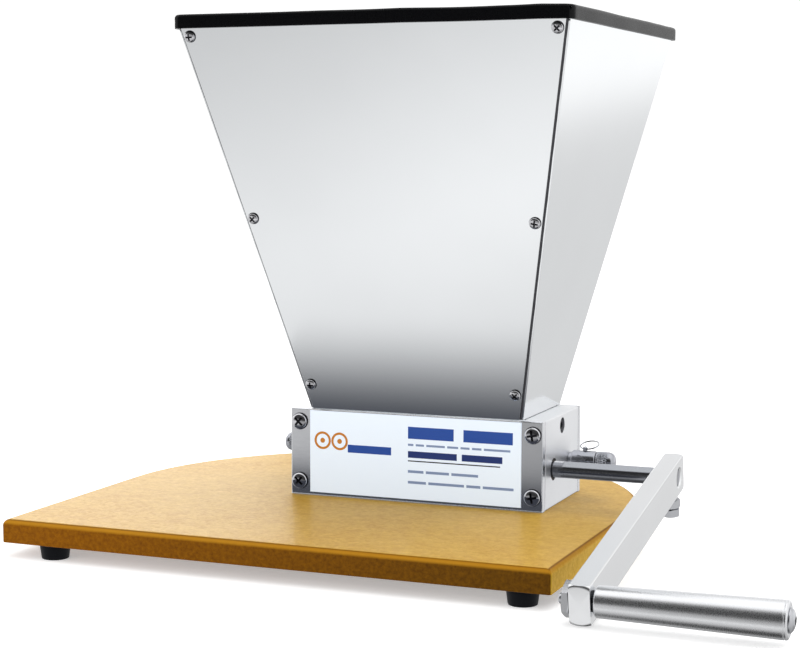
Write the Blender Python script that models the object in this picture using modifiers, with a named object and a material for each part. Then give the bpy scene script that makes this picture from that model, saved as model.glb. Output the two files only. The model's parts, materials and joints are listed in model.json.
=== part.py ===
"""Two-roller grain mill on a wooden base, with hopper, hand crank and gap adjusters.

The mill is modelled around its own centre: X along the rollers (crank at +X),
Y from front to back, Z up from the table. Lengths are in metres.
"""
import math

import bmesh
import bpy
from mathutils import Matrix, Vector

# ---------------------------------------------------------------- dimensions
# the mill's centre, placed so that the whole object is centred on the origin
MILL_X = -0.0274
MILL_Y = 0.0314

# feet and base board
FOOT_H = 0.0083
FOOT_R_TOP = 0.0091
FOOT_R_BOTTOM = 0.0080
FOOT_PLACES = {
    "front_left": (-0.1755, -0.1688),
    "front_right": (0.1123, -0.1688),
    "rear_left": (-0.1420, 0.0820),
    "rear_right": (0.0680, 0.0820),
}
BOARD_Z0 = 0.0086
BOARD_T = 0.0140
BOARD_X0 = -0.2052
BOARD_X1 = 0.1310
BOARD_Y0 = -0.1792
BOARD_CHAMFER = 0.0036
CHUTE_HALF_X = 0.0640
CHUTE_HALF_Y = 0.0290

# roller housing
BODY_W = 0.1650
BODY_D = 0.0800
BODY_H = 0.0547
BODY_Z0 = BOARD_Z0 + BOARD_T + 0.0002
BODY_Z1 = BODY_Z0 + BODY_H
PLATE_T = 0.0130
COVER_T = 0.0050
COVER_GAP = 0.0003
COVER_SCREW_X = 0.0763
COVER_SCREW_DROP = 0.0083
COVER_SCREW_RISE = 0.0088
LABEL_HALF_W = 0.0692
LABEL_T = 0.0004

# rollers and shafts
ROLLER_R = 0.0159
ROLLER_HALF = 0.0687
ROLLER_TEETH = 32
ROLLER_GROOVE = 0.0006
DRIVE_Y = -0.0170
DRIVE_Z = 0.0458
SHAFT_R = 0.0051
SHAFT_FLAT_START = 0.0890
BORE_R = 0.0069
BUSH_R = 0.0052
IDLER_Y = 0.0165
IDLER_Z = 0.0453
ADJUST_Z = 0.0463
JOURNAL_R = 0.0040

# gap adjusters
ECCENTRIC_R = 0.0079
NECK_R = 0.0040
RUNNING = 0.0001
COLLAR_R = 0.0063
COLLAR_X0 = 0.0844
COLLAR_X1 = 0.0998
KNURL_X1 = 0.1080
KNOB_X1 = 0.1119
PIN_X = 0.0925
PIN_EYE = 0.0073
PIN_TURN = math.radians(-14.0)
RING_R = 0.0058
RING_WIRE_R = 0.00045
RING_TILT = math.radians(18.0)

# hopper
HOPPER_Z0 = BODY_Z1 + 0.0003
RIM_Z1 = 0.3170
RIM_H = 0.0082
HOPPER_Z1 = 0.3150
HOPPER_BOTTOM = (0.0694, 0.0393)
HOPPER_TOP = (0.1205, 0.1191)
SHEET_T = 0.0014
FLANGE_W = 0.0140
PANEL_INSET = 0.0020
SCREW_INSET = 0.0062
SCREW_SLANTS = (0.0166, 0.1260, 0.2388)

# crank
CRANK_TILT = math.radians(10.25)
ARM_X0 = 0.1483
ARM_X1 = 0.1595
ARM_HALF_H = 0.0109
ARM_BACK = 0.0117
ARM_FRONT = 0.1923
HANDLE_AT = 0.1844
GRIP_X0 = 0.1606
GRIP_X1 = 0.2570
GRIP_R0 = 0.0083
GRIP_R1 = 0.0100
HANDLE_BOLT_R = 0.0030
HANDLE_BOLT_END = 0.1411
NUT_X0 = 0.1443
NUT_X1 = 0.1481
NUT_FLATS = 0.0170

# ------------------------------------------------------------ scene and looks
for old in list(bpy.data.objects):
    bpy.data.objects.remove(old, do_unlink=True)

PARTS = bpy.data.collections.new("grain_mill")
CUTTERS = bpy.data.collections.new("cutters")
bpy.context.scene.collection.children.link(PARTS)
bpy.context.scene.collection.children.link(CUTTERS)

LOOKS = {
    "wood": ((0.60, 0.42, 0.21), 0.6, 0.0),
    "rubber": ((0.02, 0.02, 0.02), 0.5, 0.0),
    "machined_aluminium": ((0.72, 0.73, 0.75), 0.35, 1.0),
    "sheet_aluminium": ((0.66, 0.67, 0.69), 0.38, 1.0),
    "steel": ((0.55, 0.56, 0.58), 0.30, 1.0),
    "dark_steel": ((0.16, 0.16, 0.18), 0.35, 1.0),
    "bronze": ((0.55, 0.36, 0.16), 0.35, 1.0),
    "satin_aluminium": ((0.70, 0.70, 0.72), 0.42, 1.0),
    "printed_film": ((0.90, 0.93, 0.97), 0.35, 0.0),
}


def material(slot, name):
    """One Principled material for one named piece."""
    colour, rough, metal = LOOKS[slot]
    mat = bpy.data.materials.new(name)
    mat.use_nodes = True
    shader = mat.node_tree.nodes["Principled BSDF"]
    shader.inputs["Base Color"].default_value = (*colour, 1.0)
    shader.inputs["Roughness"].default_value = rough
    shader.inputs["Metallic"].default_value = metal
    return mat


def pivot(name, location, rotation=(0.0, 0.0, 0.0), parent=None):
    """Empty on a joint axis; its children turn or slide with it."""
    empty = bpy.data.objects.new(name, None)
    empty.empty_display_size = 0.02
    empty.location = location
    empty.rotation_euler = rotation
    empty.parent = parent
    PARTS.objects.link(empty)
    return empty


def thing(name, mesh, slot, location=(0, 0, 0), rotation=(0, 0, 0), parent=None):
    """A visible piece of the mill, with its own material."""
    obj = bpy.data.objects.new(name, mesh)
    obj.location = location
    obj.rotation_euler = rotation
    obj.parent = parent
    PARTS.objects.link(obj)
    if not mesh.materials:
        mesh.materials.append(material(slot, name))
    return obj


def tool(mesh, location=(0, 0, 0), rotation=(0, 0, 0), parent=None):
    """A solid that only cuts or joins other pieces."""
    obj = bpy.data.objects.new("tool", mesh)
    obj.location = location
    obj.rotation_euler = rotation
    obj.parent = parent
    obj.hide_render = True
    obj.display_type = "WIRE"
    CUTTERS.objects.link(obj)
    return obj


def boolean(target, other, operation="DIFFERENCE"):
    mod = target.modifiers.new(operation.lower(), "BOOLEAN")
    mod.operation = operation
    mod.solver = "EXACT"
    mod.object = other


# -------------------------------------------------------------------- shapes
ALONG_X = (0.0, math.pi / 2, 0.0)
ALONG_MINUS_X = (0.0, -math.pi / 2, 0.0)


def finish(bm, name):
    bmesh.ops.recalc_face_normals(bm, faces=bm.faces)
    mesh = bpy.data.meshes.new(name)
    bm.to_mesh(mesh)
    bm.free()
    return mesh


def block(low, high, bevel=0.0, edge_test=None):
    """Box between two corners; edges that pass edge_test get a bevel."""
    bm = bmesh.new()
    bmesh.ops.create_cube(bm, size=1.0)
    low, high = Vector(low), Vector(high)
    size = high - low
    middle = (low + high) / 2
    for vert in bm.verts:
        vert.co = Vector((vert.co.x * size.x, vert.co.y * size.y, vert.co.z * size.z))
        vert.co += middle
    if bevel:
        edges = [e for e in bm.edges if edge_test is None or edge_test(e)]
        bmesh.ops.bevel(bm, geom=edges, offset=bevel, segments=1, affect="EDGES",
                        profile=0.5, clamp_overlap=True)
    return finish(bm, "block")


def rod(radius, start, end, sides=24):
    """Cylinder on the local Z axis from start to end."""
    bm = bmesh.new()
    bmesh.ops.create_cone(bm, cap_ends=True, segments=sides, radius1=radius,
                          radius2=radius, depth=end - start)
    bmesh.ops.translate(bm, verts=bm.verts, vec=(0, 0, (start + end) / 2))
    return finish(bm, "rod")


def turned(profile, sides=32, closed=False):
    """Solid of revolution about Z from (radius, height) points, outer side downwards."""
    mesh = bpy.data.meshes.new("profile")
    points = [(r, 0.0, z) for r, z in profile]
    edges = [(i, i + 1) for i in range(len(points) - 1)]
    if closed:
        edges.append((len(points) - 1, 0))
    mesh.from_pydata(points, edges, [])
    obj = bpy.data.objects.new("profile", mesh)
    bpy.context.scene.collection.objects.link(obj)
    mod = obj.modifiers.new("screw", "SCREW")
    mod.axis = "Z"
    mod.steps = sides
    mod.render_steps = sides
    mod.use_merge_vertices = True
    mod.merge_threshold = 0.00001
    return baked(obj)


def baked(obj):
    """Mesh of an object with its modifiers applied; the object itself goes."""
    bpy.context.view_layer.update()
    depsgraph = bpy.context.evaluated_depsgraph_get()
    mesh = bpy.data.meshes.new_from_object(obj.evaluated_get(depsgraph), depsgraph=depsgraph)
    matrix = obj.matrix_world.copy()
    bpy.data.objects.remove(obj, do_unlink=True)
    mesh.transform(matrix)
    bm = bmesh.new()
    bm.from_mesh(mesh)
    bmesh.ops.remove_doubles(bm, verts=bm.verts, dist=0.000002)
    bpy.data.meshes.remove(mesh)
    return finish(bm, "baked")


def slab(outline, z0, z1):
    """Flat-sided solid with the given XY outline."""
    curve = bpy.data.curves.new("outline", "CURVE")
    curve.dimensions = "2D"
    curve.fill_mode = "BOTH"
    curve.resolution_u = 1
    curve.render_resolution_u = 0
    curve.extrude = (z1 - z0) / 2
    spline = curve.splines.new("POLY")
    spline.points.add(len(outline) - 1)
    for point, (x, y) in zip(spline.points, outline):
        point.co = (x, y, 0.0, 1.0)
    spline.use_cyclic_u = True
    obj = bpy.data.objects.new("outline", curve)
    obj.location = (0.0, 0.0, (z0 + z1) / 2)
    bpy.context.scene.collection.objects.link(obj)
    return baked(obj)


def arc(cx, cy, radius, start, end, steps):
    """Points on an arc, angles in degrees."""
    points = []
    for i in range(steps + 1):
        angle = math.radians(start + (end - start) * i / steps)
        points.append((cx + radius * math.cos(angle), cy + radius * math.sin(angle)))
    return points


def rounded_rectangle(half_x, half_y, radius, steps):
    points = []
    corners = ((1, 1, 0), (-1, 1, 90), (-1, -1, 180), (1, -1, 270))
    for sx, sy, start in corners:
        cx = sx * (half_x - radius)
        cy = sy * (half_y - radius)
        points += arc(cx, cy, radius, start, start + 90, steps)
    return points


def toothed_circle(radius, depth, teeth, flats=True):
    """Circle with V grooves; without flats it is a zigzag, as on a knurled knob."""
    steps = [(0.0, radius - depth), (0.5, radius)]
    if flats:
        steps = [(0.0, radius - depth), (0.34, radius), (0.66, radius)]
    points = []
    for i in range(teeth):
        for share, r in steps:
            angle = 2 * math.pi * (i + share) / teeth
            points.append((r * math.cos(angle), r * math.sin(angle)))
    return points


def hexagon(across_flats):
    corner = across_flats / math.sqrt(3.0)
    return arc(0.0, 0.0, corner, 0, 300, 5)


def smooth(obj, angle=35.0):
    """Round sides shaded smooth, edges kept sharp."""
    mesh = obj.data
    mesh.shade_smooth()
    mesh.set_sharp_from_angle(angle=math.radians(angle))


# ---------------------------------------------------------------- the pivots
ROOT = pivot("mill_origin", (MILL_X, MILL_Y, 0.0))
CRANK = pivot("crank_pivot", (0.0, DRIVE_Y, DRIVE_Z), (CRANK_TILT, 0.0, 0.0), ROOT)
GRIP = pivot("grip_pivot", (0.0, -HANDLE_AT, 0.0), (0.0, 0.0, 0.0), CRANK)
ADJUSTER = pivot("adjuster_pivot", (0.0, IDLER_Y, ADJUST_Z), (0.0, 0.0, 0.0), ROOT)
IDLER = pivot("idler_pivot", (0.0, 0.0, IDLER_Z - ADJUST_Z), (0.0, 0.0, 0.0), ADJUSTER)

# -------------------------------------------------------------- base and feet
foot_profile = [
    (0.0, FOOT_H),
    (FOOT_R_TOP - 0.0006, FOOT_H),
    (FOOT_R_TOP, FOOT_H - 0.0006),
    (FOOT_R_BOTTOM, 0.0013),
    (FOOT_R_BOTTOM - 0.0005, 0.0004),
    (FOOT_R_BOTTOM - 0.0014, 0.0),
    (0.0, 0.0),
]
for corner, (foot_x, foot_y) in FOOT_PLACES.items():
    foot = thing("foot_" + corner, turned(foot_profile, 24), "rubber",
                 (foot_x, foot_y, 0.0), parent=ROOT)
    smooth(foot)

board_radius = (BOARD_X1 - BOARD_X0) / 2
board_middle = (BOARD_X1 + BOARD_X0) / 2
BOARD_ARC_Y = -0.0225
board_outline = [(BOARD_X0, BOARD_Y0), (BOARD_X1, BOARD_Y0)]
board_outline += arc(board_middle, BOARD_ARC_Y, board_radius, 0, 180, 44)
board_mesh = slab(board_outline, BOARD_Z0, BOARD_Z0 + BOARD_T)
bm = bmesh.new()
bm.from_mesh(board_mesh)
bmesh.ops.dissolve_limit(bm, angle_limit=math.radians(1.0), verts=bm.verts, edges=bm.edges)
top_edges = [e for e in bm.edges
             if all(v.co.z > BOARD_Z0 + BOARD_T - 0.0001 for v in e.verts)
             and len({round(f.normal.z) for f in e.link_faces}) == 2]
bmesh.ops.bevel(bm, geom=top_edges, offset=BOARD_CHAMFER, segments=2, affect="EDGES",
                profile=0.5, clamp_overlap=False)
board = thing("base_board", finish(bm, "base_board"), "wood", parent=ROOT)
smooth(board, 25.0)
chute = slab(rounded_rectangle(CHUTE_HALF_X, CHUTE_HALF_Y, 0.006, 4), 0.0, 0.040)
boolean(board, tool(chute, parent=ROOT))

# ------------------------------------------------------------ roller housing
cover_screw_heights = (BODY_Z1 - COVER_SCREW_DROP, BODY_Z0 + COVER_SCREW_RISE)
cover_screws = []
for sy, face in ((-1, "front"), (1, "rear")):
    for sx, side in ((-1, "left"), (1, "right")):
        for height, level in zip(cover_screw_heights, ("upper", "lower")):
            cover_screws.append((f"{face}_cover_screw_{side}_{level}", sx, sy, height))
cover_screw_holes = {}
for name, sx, sy, height in cover_screws:
    lean = (math.pi / 2, 0.0, 0.0) if sy < 0 else (-math.pi / 2, 0.0, 0.0)
    hole = tool(rod(0.0027, -0.0130, 0.0030, 14),
                (sx * COVER_SCREW_X, sy * BODY_D / 2, height), lean, ROOT)
    cover_screw_holes[name] = (hole, lean)

BASE_BOLT_Y = 0.0140
BASE_BOLT_X = 0.0760
base_bolts = []
for sx, side in ((-1, "left"), (1, "right")):
    for sy, face in ((-1, "front"), (1, "rear")):
        place = (sx * BASE_BOLT_X, sy * BASE_BOLT_Y, BOARD_Z0)
        base_bolts.append((f"base_bolt_{side}_{face}", place))
        boolean(board, tool(rod(0.0056, -0.0020, 0.0052, 18), place, parent=ROOT))
        boolean(board, tool(rod(0.0027, 0.0, 0.0160, 14), place, parent=ROOT))

for sx, side in ((-1, "left"), (1, "right")):
    inner = BODY_W / 2 - PLATE_T
    outer = BODY_W / 2
    low = (min(sx * inner, sx * outer), -BODY_D / 2 + COVER_T + COVER_GAP, BODY_Z0)
    high = (max(sx * inner, sx * outer), BODY_D / 2 - COVER_T - COVER_GAP, BODY_Z1)

    def outer_edge(edge, sign=sx):
        return all(v.co.x * sign > BODY_W / 2 - 0.001 for v in edge.verts)

    plate = thing(f"end_plate_{side}", block(low, high, 0.0007, outer_edge),
                  "machined_aluminium", parent=ROOT)
    facing = ALONG_X if sx > 0 else ALONG_MINUS_X
    drive_end = outer + 0.002 if sx > 0 else 0.0800
    cuts = [
        (rod(BORE_R, inner - 0.002, drive_end, 28), (0.0, DRIVE_Y, DRIVE_Z)),
        (rod(ECCENTRIC_R + RUNNING, inner - 0.002, 0.0813, 28), (0.0, IDLER_Y, ADJUST_Z)),
        (rod(NECK_R + RUNNING, inner, outer + 0.002, 20), (0.0, IDLER_Y, ADJUST_Z)),
        (rod(0.0049, outer - 0.0050, outer + 0.002, 20), (0.0, 0.0, BODY_Z1 - 0.0073)),
        (rod(0.0026, inner - 0.002, outer, 14), (0.0, 0.0, BODY_Z1 - 0.0073)),
    ]
    for mesh, place in cuts:
        boolean(plate, tool(mesh, place, facing, ROOT))
    for name, screw_x, screw_y, height in cover_screws:
        if screw_x == sx:
            boolean(plate, cover_screw_holes[name][0])
    for name, place in base_bolts:
        if side in name:
            boolean(plate, tool(rod(0.0027, 0.0120, 0.0270, 14), place, parent=ROOT))

for sy, face in ((-1, "front"), (1, "rear")):
    near = sy * (BODY_D / 2 - COVER_T)
    far = sy * BODY_D / 2

    def face_edge(edge, sign=sy):
        return all(v.co.y * sign > BODY_D / 2 - 0.001 for v in edge.verts)

    cover = thing(f"{face}_plate",
                  block((-BODY_W / 2, min(near, far), BODY_Z0),
                        (BODY_W / 2, max(near, far), BODY_Z1), 0.0006, face_edge),
                  "machined_aluminium", parent=ROOT)
    for name, screw_x, screw_y, height in cover_screws:
        if screw_y == sy:
            boolean(cover, cover_screw_holes[name][0])

label_z0 = BODY_Z0 + 0.0022
label_z1 = BODY_Z1 - 0.0009
label_y = -BODY_D / 2 - 0.00005
label = thing("front_label",
              block((-LABEL_HALF_W, label_y - LABEL_T, label_z0), (LABEL_HALF_W, label_y, label_z1)),
              "printed_film", parent=ROOT)


# ------------------------------------------------------------------ fasteners
def pan_screw(head_r, head_h, shank_r, length, slot_w, sides):
    """Pan-head screw with a cross recess, head upwards on Z, seat at zero."""
    profile = [
        (0.0, head_h),
        (head_r * 0.62, head_h * 0.93),
        (head_r, head_h * 0.40),
        (head_r, 0.0),
        (shank_r, 0.0),
        (shank_r, -length),
        (0.0, -length),
    ]
    screw = bpy.data.objects.new("screw", turned(profile, sides))
    bpy.context.scene.collection.objects.link(screw)
    reach = head_r * 0.62
    deep = head_h * 0.30
    across = tool(block((-reach, -slot_w / 2, deep), (reach, slot_w / 2, head_h * 2)))
    along = tool(block((-slot_w / 2, -reach, deep), (slot_w / 2, reach, head_h * 2)))
    boolean(across, along, "UNION")
    boolean(screw, across)
    mesh = baked(screw)
    bpy.data.objects.remove(across, do_unlink=True)
    bpy.data.objects.remove(along, do_unlink=True)
    return mesh


big_screw = pan_screw(0.0053, 0.0030, 0.0024, 0.0120, 0.0016, 16)
small_screw = pan_screw(0.0036, 0.0021, 0.0016, 0.0050, 0.0011, 12)
big_screw.materials.append(material("steel", "cover_screw"))
small_screw.materials.append(material("steel", "hopper_screw"))

for name, sx, sy, height in cover_screws:
    lean = cover_screw_holes[name][1]
    seat = sy * (BODY_D / 2 + 0.0001)
    screw = thing(name, big_screw, "steel", (sx * COVER_SCREW_X, seat, height), lean, ROOT)
smooth(screw)

bolt_profile = [
    (0.0, 0.0160 + 0.0080),
    (0.0020, 0.0160 + 0.0080),
    (0.0024, 0.0160 + 0.0074),
    (0.0024, 0.0050),
    (0.0050, 0.0050),
    (0.0050, 0.0012),
    (0.0042, 0.0006),
    (0.0, 0.0006),
]
for name, place in base_bolts:
    bolt = thing(name, turned(bolt_profile, 14), "steel", place, parent=ROOT)
    smooth(bolt)


# --------------------------------------------------------------------- hopper
def half_width(z):
    share = (z - HOPPER_Z0) / (RIM_Z1 - HOPPER_Z0)
    return HOPPER_BOTTOM[0] + (HOPPER_TOP[0] - HOPPER_BOTTOM[0]) * share


def half_depth(z):
    share = (z - HOPPER_Z0) / (RIM_Z1 - HOPPER_Z0)
    return HOPPER_BOTTOM[1] + (HOPPER_TOP[1] - HOPPER_BOTTOM[1]) * share


FRONT_LEAN = math.atan((HOPPER_TOP[1] - HOPPER_BOTTOM[1]) / (RIM_Z1 - HOPPER_Z0))
SIDE_LEAN = math.atan((HOPPER_TOP[0] - HOPPER_BOTTOM[0]) / (RIM_Z1 - HOPPER_Z0))
FLANGE_BACK = (SHEET_T + 0.00025) / math.cos(FRONT_LEAN)


def frustum(z0, z1, low, high, corner=0.0):
    """Four-sided solid with (x0, x1, y0, y1) at the bottom and at the top."""
    bm = bmesh.new()
    bmesh.ops.create_cube(bm, size=2.0)
    for vert in bm.verts:
        z, ends = (z1, high) if vert.co.z > 0 else (z0, low)
        x = ends[1] if vert.co.x > 0 else ends[0]
        y = ends[3] if vert.co.y > 0 else ends[2]
        vert.co = (x, y, z)
    if corner:
        rising = [e for e in bm.edges if abs(e.verts[0].co.z - e.verts[1].co.z) > 0.001]
        bmesh.ops.bevel(bm, geom=rising, offset=corner, segments=1, affect="EDGES",
                        profile=0.5, clamp_overlap=True)
    return finish(bm, "frustum")


hopper_screws = []
for sy, face in ((-1, "front"), (1, "rear")):
    for sx, side in ((-1, "left"), (1, "right")):
        for slant, level in zip(SCREW_SLANTS, ("lower", "middle", "upper")):
            z = HOPPER_Z0 + slant * math.cos(FRONT_LEAN)
            place = (sx * (half_width(z) - SCREW_INSET), sy * half_depth(z), z)
            if sy < 0:
                lean = (math.pi / 2 + FRONT_LEAN, 0.0, 0.0)
            else:
                lean = (-math.pi / 2 - FRONT_LEAN, 0.0, 0.0)
            hole = tool(rod(0.00175, -0.0060, 0.0020, 12), place, lean, ROOT)
            hopper_screws.append((f"{face}_hopper_screw_{side}_{level}", sx, sy, place, lean, hole))

for sy, face in ((-1, "front"), (1, "rear")):
    skin = SHEET_T / math.cos(FRONT_LEAN)
    ends = []
    for z in (HOPPER_Z0, HOPPER_Z1):
        wide = half_width(z) - PANEL_INSET
        outer = half_depth(z)
        if sy < 0:
            ends.append((-wide, wide, -outer, -outer + skin))
        else:
            ends.append((-wide, wide, outer - skin, outer))
    panel = thing(f"hopper_{face}_panel", frustum(HOPPER_Z0, HOPPER_Z1, *ends),
                  "sheet_aluminium", parent=ROOT)
    for name, sx, screw_y, place, lean, hole in hopper_screws:
        if screw_y == sy:
            boolean(panel, hole)

for sx, side in ((-1, "left"), (1, "right")):
    rows = (HOPPER_Z0, RIM_Z1 - RIM_H - 0.0010, HOPPER_Z1)
    bm = bmesh.new()
    bmesh.ops.create_grid(bm, x_segments=3, y_segments=2, size=1.0)
    columns = sorted({round(v.co.x, 4) for v in bm.verts})
    levels = sorted({round(v.co.y, 4) for v in bm.verts})
    spare = []
    for face in bm.faces:
        middle = face.calc_center_median()
        if middle.y > 0 and abs(middle.x) > 0.4:
            spare.append(face)
    bmesh.ops.delete(bm, geom=spare, context="FACES")
    for vert in bm.verts:
        column = columns.index(round(vert.co.x, 4))
        z = rows[levels.index(round(vert.co.y, 4))]
        depth = half_depth(z) - FLANGE_BACK
        x = half_width(z)
        if column in (0, 3):
            x -= FLANGE_W
        y = -depth if column < 2 else depth
        vert.co = (sx * x, y, z)
    bmesh.ops.recalc_face_normals(bm, faces=bm.faces)
    wall = max(bm.faces, key=lambda f: f.calc_area())
    if wall.normal.x * sx < 0:
        bmesh.ops.reverse_faces(bm, faces=bm.faces)
    mesh = bpy.data.meshes.new(f"hopper_side_{side}")
    bm.to_mesh(mesh)
    bm.free()
    panel = thing(f"hopper_side_{side}", mesh, "sheet_aluminium", parent=ROOT)
    mod = panel.modifiers.new("sheet", "SOLIDIFY")
    mod.thickness = SHEET_T
    mod.offset = -1.0
    mod.use_even_offset = True
    mod.use_quality_normals = True
    lip_x = sorted((sx * 0.0678, sx * 0.0692))
    lip = block((lip_x[0], -0.0300, BODY_Z1 - 0.0130), (lip_x[1], 0.0300, HOPPER_Z0 + 0.0012))
    boolean(panel, tool(lip, parent=ROOT), "UNION")
    for name, screw_x, screw_y, place, lean, hole in hopper_screws:
        if screw_x == sx:
            boolean(panel, hole)
    facing = ALONG_X if sx > 0 else ALONG_MINUS_X
    boolean(panel, tool(rod(0.0026, 0.0600, 0.0740, 14), (0.0, 0.0, BODY_Z1 - 0.0073), facing, ROOT))
    retainer_profile = [
        (0.0, 0.0815),
        (0.0036, 0.0815),
        (0.0044, 0.0808),
        (0.0044, 0.0778),
        (0.0024, 0.0778),
        (0.0024, 0.0655),
        (0.0, 0.0655),
    ]
    retainer = thing(f"hopper_retainer_{side}", turned(retainer_profile, 18), "steel",
                     (0.0, 0.0, BODY_Z1 - 0.0073), facing, ROOT)
    boolean(retainer, tool(slab(hexagon(0.0040), 0.0790, 0.0830), (0.0, 0.0, BODY_Z1 - 0.0073),
                           facing, ROOT))
    smooth(retainer)

for name, sx, sy, place, lean, hole in hopper_screws:
    outward = Vector((0.0, sy * math.cos(FRONT_LEAN), -math.sin(FRONT_LEAN)))
    seat = Vector(place) + outward * 0.0001
    screw = thing(name, small_screw, "steel", seat, lean, ROOT)
smooth(screw)

# black edge trim: a rubber channel pushed over the sheet edge all round
trim_half_x = half_width(RIM_Z1) - 0.0011
trim_half_y = half_depth(RIM_Z1) - 0.0011
path = bpy.data.curves.new("trim_path", "CURVE")
path.dimensions = "2D"
path.render_resolution_u = 0
spline = path.splines.new("POLY")
path_points = rounded_rectangle(trim_half_x, trim_half_y, 0.0043, 5)
spline.points.add(len(path_points) - 1)
for point, (x, y) in zip(spline.points, path_points):
    point.co = (x, y, 0.0, 1.0)
spline.use_cyclic_u = True
section = bpy.data.curves.new("trim_section", "CURVE")
section.dimensions = "2D"
section.render_resolution_u = 0
spline = section.splines.new("POLY")
# the section's +X points into the hopper, its origin is the trim's top line
section_points = [
    (-0.0023, -RIM_H), (-0.0023, -0.0016), (-0.0016, -0.0004), (-0.0004, 0.0), (0.0018, 0.0),
    (0.0028, -0.0004), (0.0034, -0.0016), (0.0042, -0.0070), (0.0038, -RIM_H),
]
spline.points.add(len(section_points) - 1)
for point, (x, y) in zip(spline.points, section_points):
    point.co = (x, y, 0.0, 1.0)
spline.use_cyclic_u = True
section_object = bpy.data.objects.new("trim_section", section)
bpy.context.scene.collection.objects.link(section_object)
path.bevel_mode = "OBJECT"
path.bevel_object = section_object
path_object = bpy.data.objects.new("trim_path", path)
path_object.location = (0.0, 0.0, RIM_Z1)
bpy.context.scene.collection.objects.link(path_object)
trim = thing("hopper_rim_trim", baked(path_object), "rubber", parent=ROOT)
bpy.data.objects.remove(section_object, do_unlink=True)
smooth(trim, 30.0)
slot_z0 = RIM_Z1 - RIM_H - 0.0030
slot_z1 = HOPPER_Z1 + 0.0005
side_clear = 0.0002 / math.cos(SIDE_LEAN)
front_clear = 0.0002 / math.cos(FRONT_LEAN)
side_skin = (SHEET_T + 0.0002) / math.cos(SIDE_LEAN)
front_skin = (SHEET_T + 0.00045) / math.cos(FRONT_LEAN)
outer_ends = []
inner_ends = []
for z in (slot_z0, slot_z1):
    x = half_width(z) + side_clear
    y = half_depth(z) + front_clear
    outer_ends.append((-x, x, -y, y))
    x = half_width(z) - side_skin
    y = half_depth(z) - front_skin
    inner_ends.append((-x, x, -y, y))
slot = tool(frustum(slot_z0, slot_z1, *outer_ends, corner=0.0017), parent=ROOT)
core = tool(frustum(slot_z0 - 0.0010, slot_z1 + 0.0010, *inner_ends), parent=ROOT)
boolean(slot, core)
boolean(trim, slot)


# -------------------------------------------------------------------- rollers
def roller_mesh():
    return slab(toothed_circle(ROLLER_R, ROLLER_GROOVE, ROLLER_TEETH), -ROLLER_HALF, ROLLER_HALF)


drive = thing("drive_roller", roller_mesh(), "steel", (0.0, 0.0, 0.0),
              (-CRANK_TILT, 0.0, 0.0), CRANK)
drive.rotation_euler = (Matrix.Rotation(-CRANK_TILT, 4, "X")
                        @ Matrix.Rotation(math.pi / 2, 4, "Y")).to_euler()
shaft_profile = [
    (0.0, ARM_X1 - 0.0008),
    (SHAFT_R - 0.0006, ARM_X1 - 0.0008),
    (SHAFT_R, ARM_X1 - 0.0014),
    (SHAFT_R, -0.0785),
    (SHAFT_R - 0.0006, -0.0791),
    (0.0, -0.0791),
]
shaft = tool(turned(shaft_profile, 28), parent=CRANK)
shaft.rotation_euler = drive.rotation_euler
boolean(drive, shaft, "UNION")
flat_depth = SHAFT_R * (1.0 - math.cos(math.radians(29.6)))
for direction in (120.0, 270.0 + math.degrees(CRANK_TILT)):
    cutter = block((SHAFT_FLAT_START, -0.0060, SHAFT_R - flat_depth),
                   (ARM_X1 + 0.0050, 0.0060, SHAFT_R + 0.0040))
    turn = math.radians(direction - 90.0) - CRANK_TILT
    boolean(drive, tool(cutter, (0.0, 0.0, 0.0), (turn, 0.0, 0.0), CRANK))
smooth(drive, 20.0)

idler = thing("idler_roller", roller_mesh(), "steel", (0.0, 0.0, 0.0), ALONG_X, IDLER)
journal_profile = [
    (0.0, 0.0785),
    (JOURNAL_R - 0.0005, 0.0785),
    (JOURNAL_R, 0.0780),
    (JOURNAL_R, -0.0780),
    (JOURNAL_R - 0.0005, -0.0785),
    (0.0, -0.0785),
]
boolean(idler, tool(turned(journal_profile, 24), (0.0, 0.0, 0.0), ALONG_X, IDLER), "UNION")
smooth(idler, 20.0)

for sx, side in ((-1, "left"), (1, "right")):
    facing = ALONG_X if sx > 0 else ALONG_MINUS_X
    bush_profile = [
        (BORE_R - RUNNING, 0.0797),
        (BORE_R - RUNNING, 0.0699),
        (BUSH_R, 0.0699),
        (BUSH_R, 0.0797),
    ]
    bush = thing(f"drive_bush_{side}", turned(bush_profile, 28, closed=True), "bronze",
                 (0.0, DRIVE_Y, DRIVE_Z), facing, ROOT)
    smooth(bush)

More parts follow.
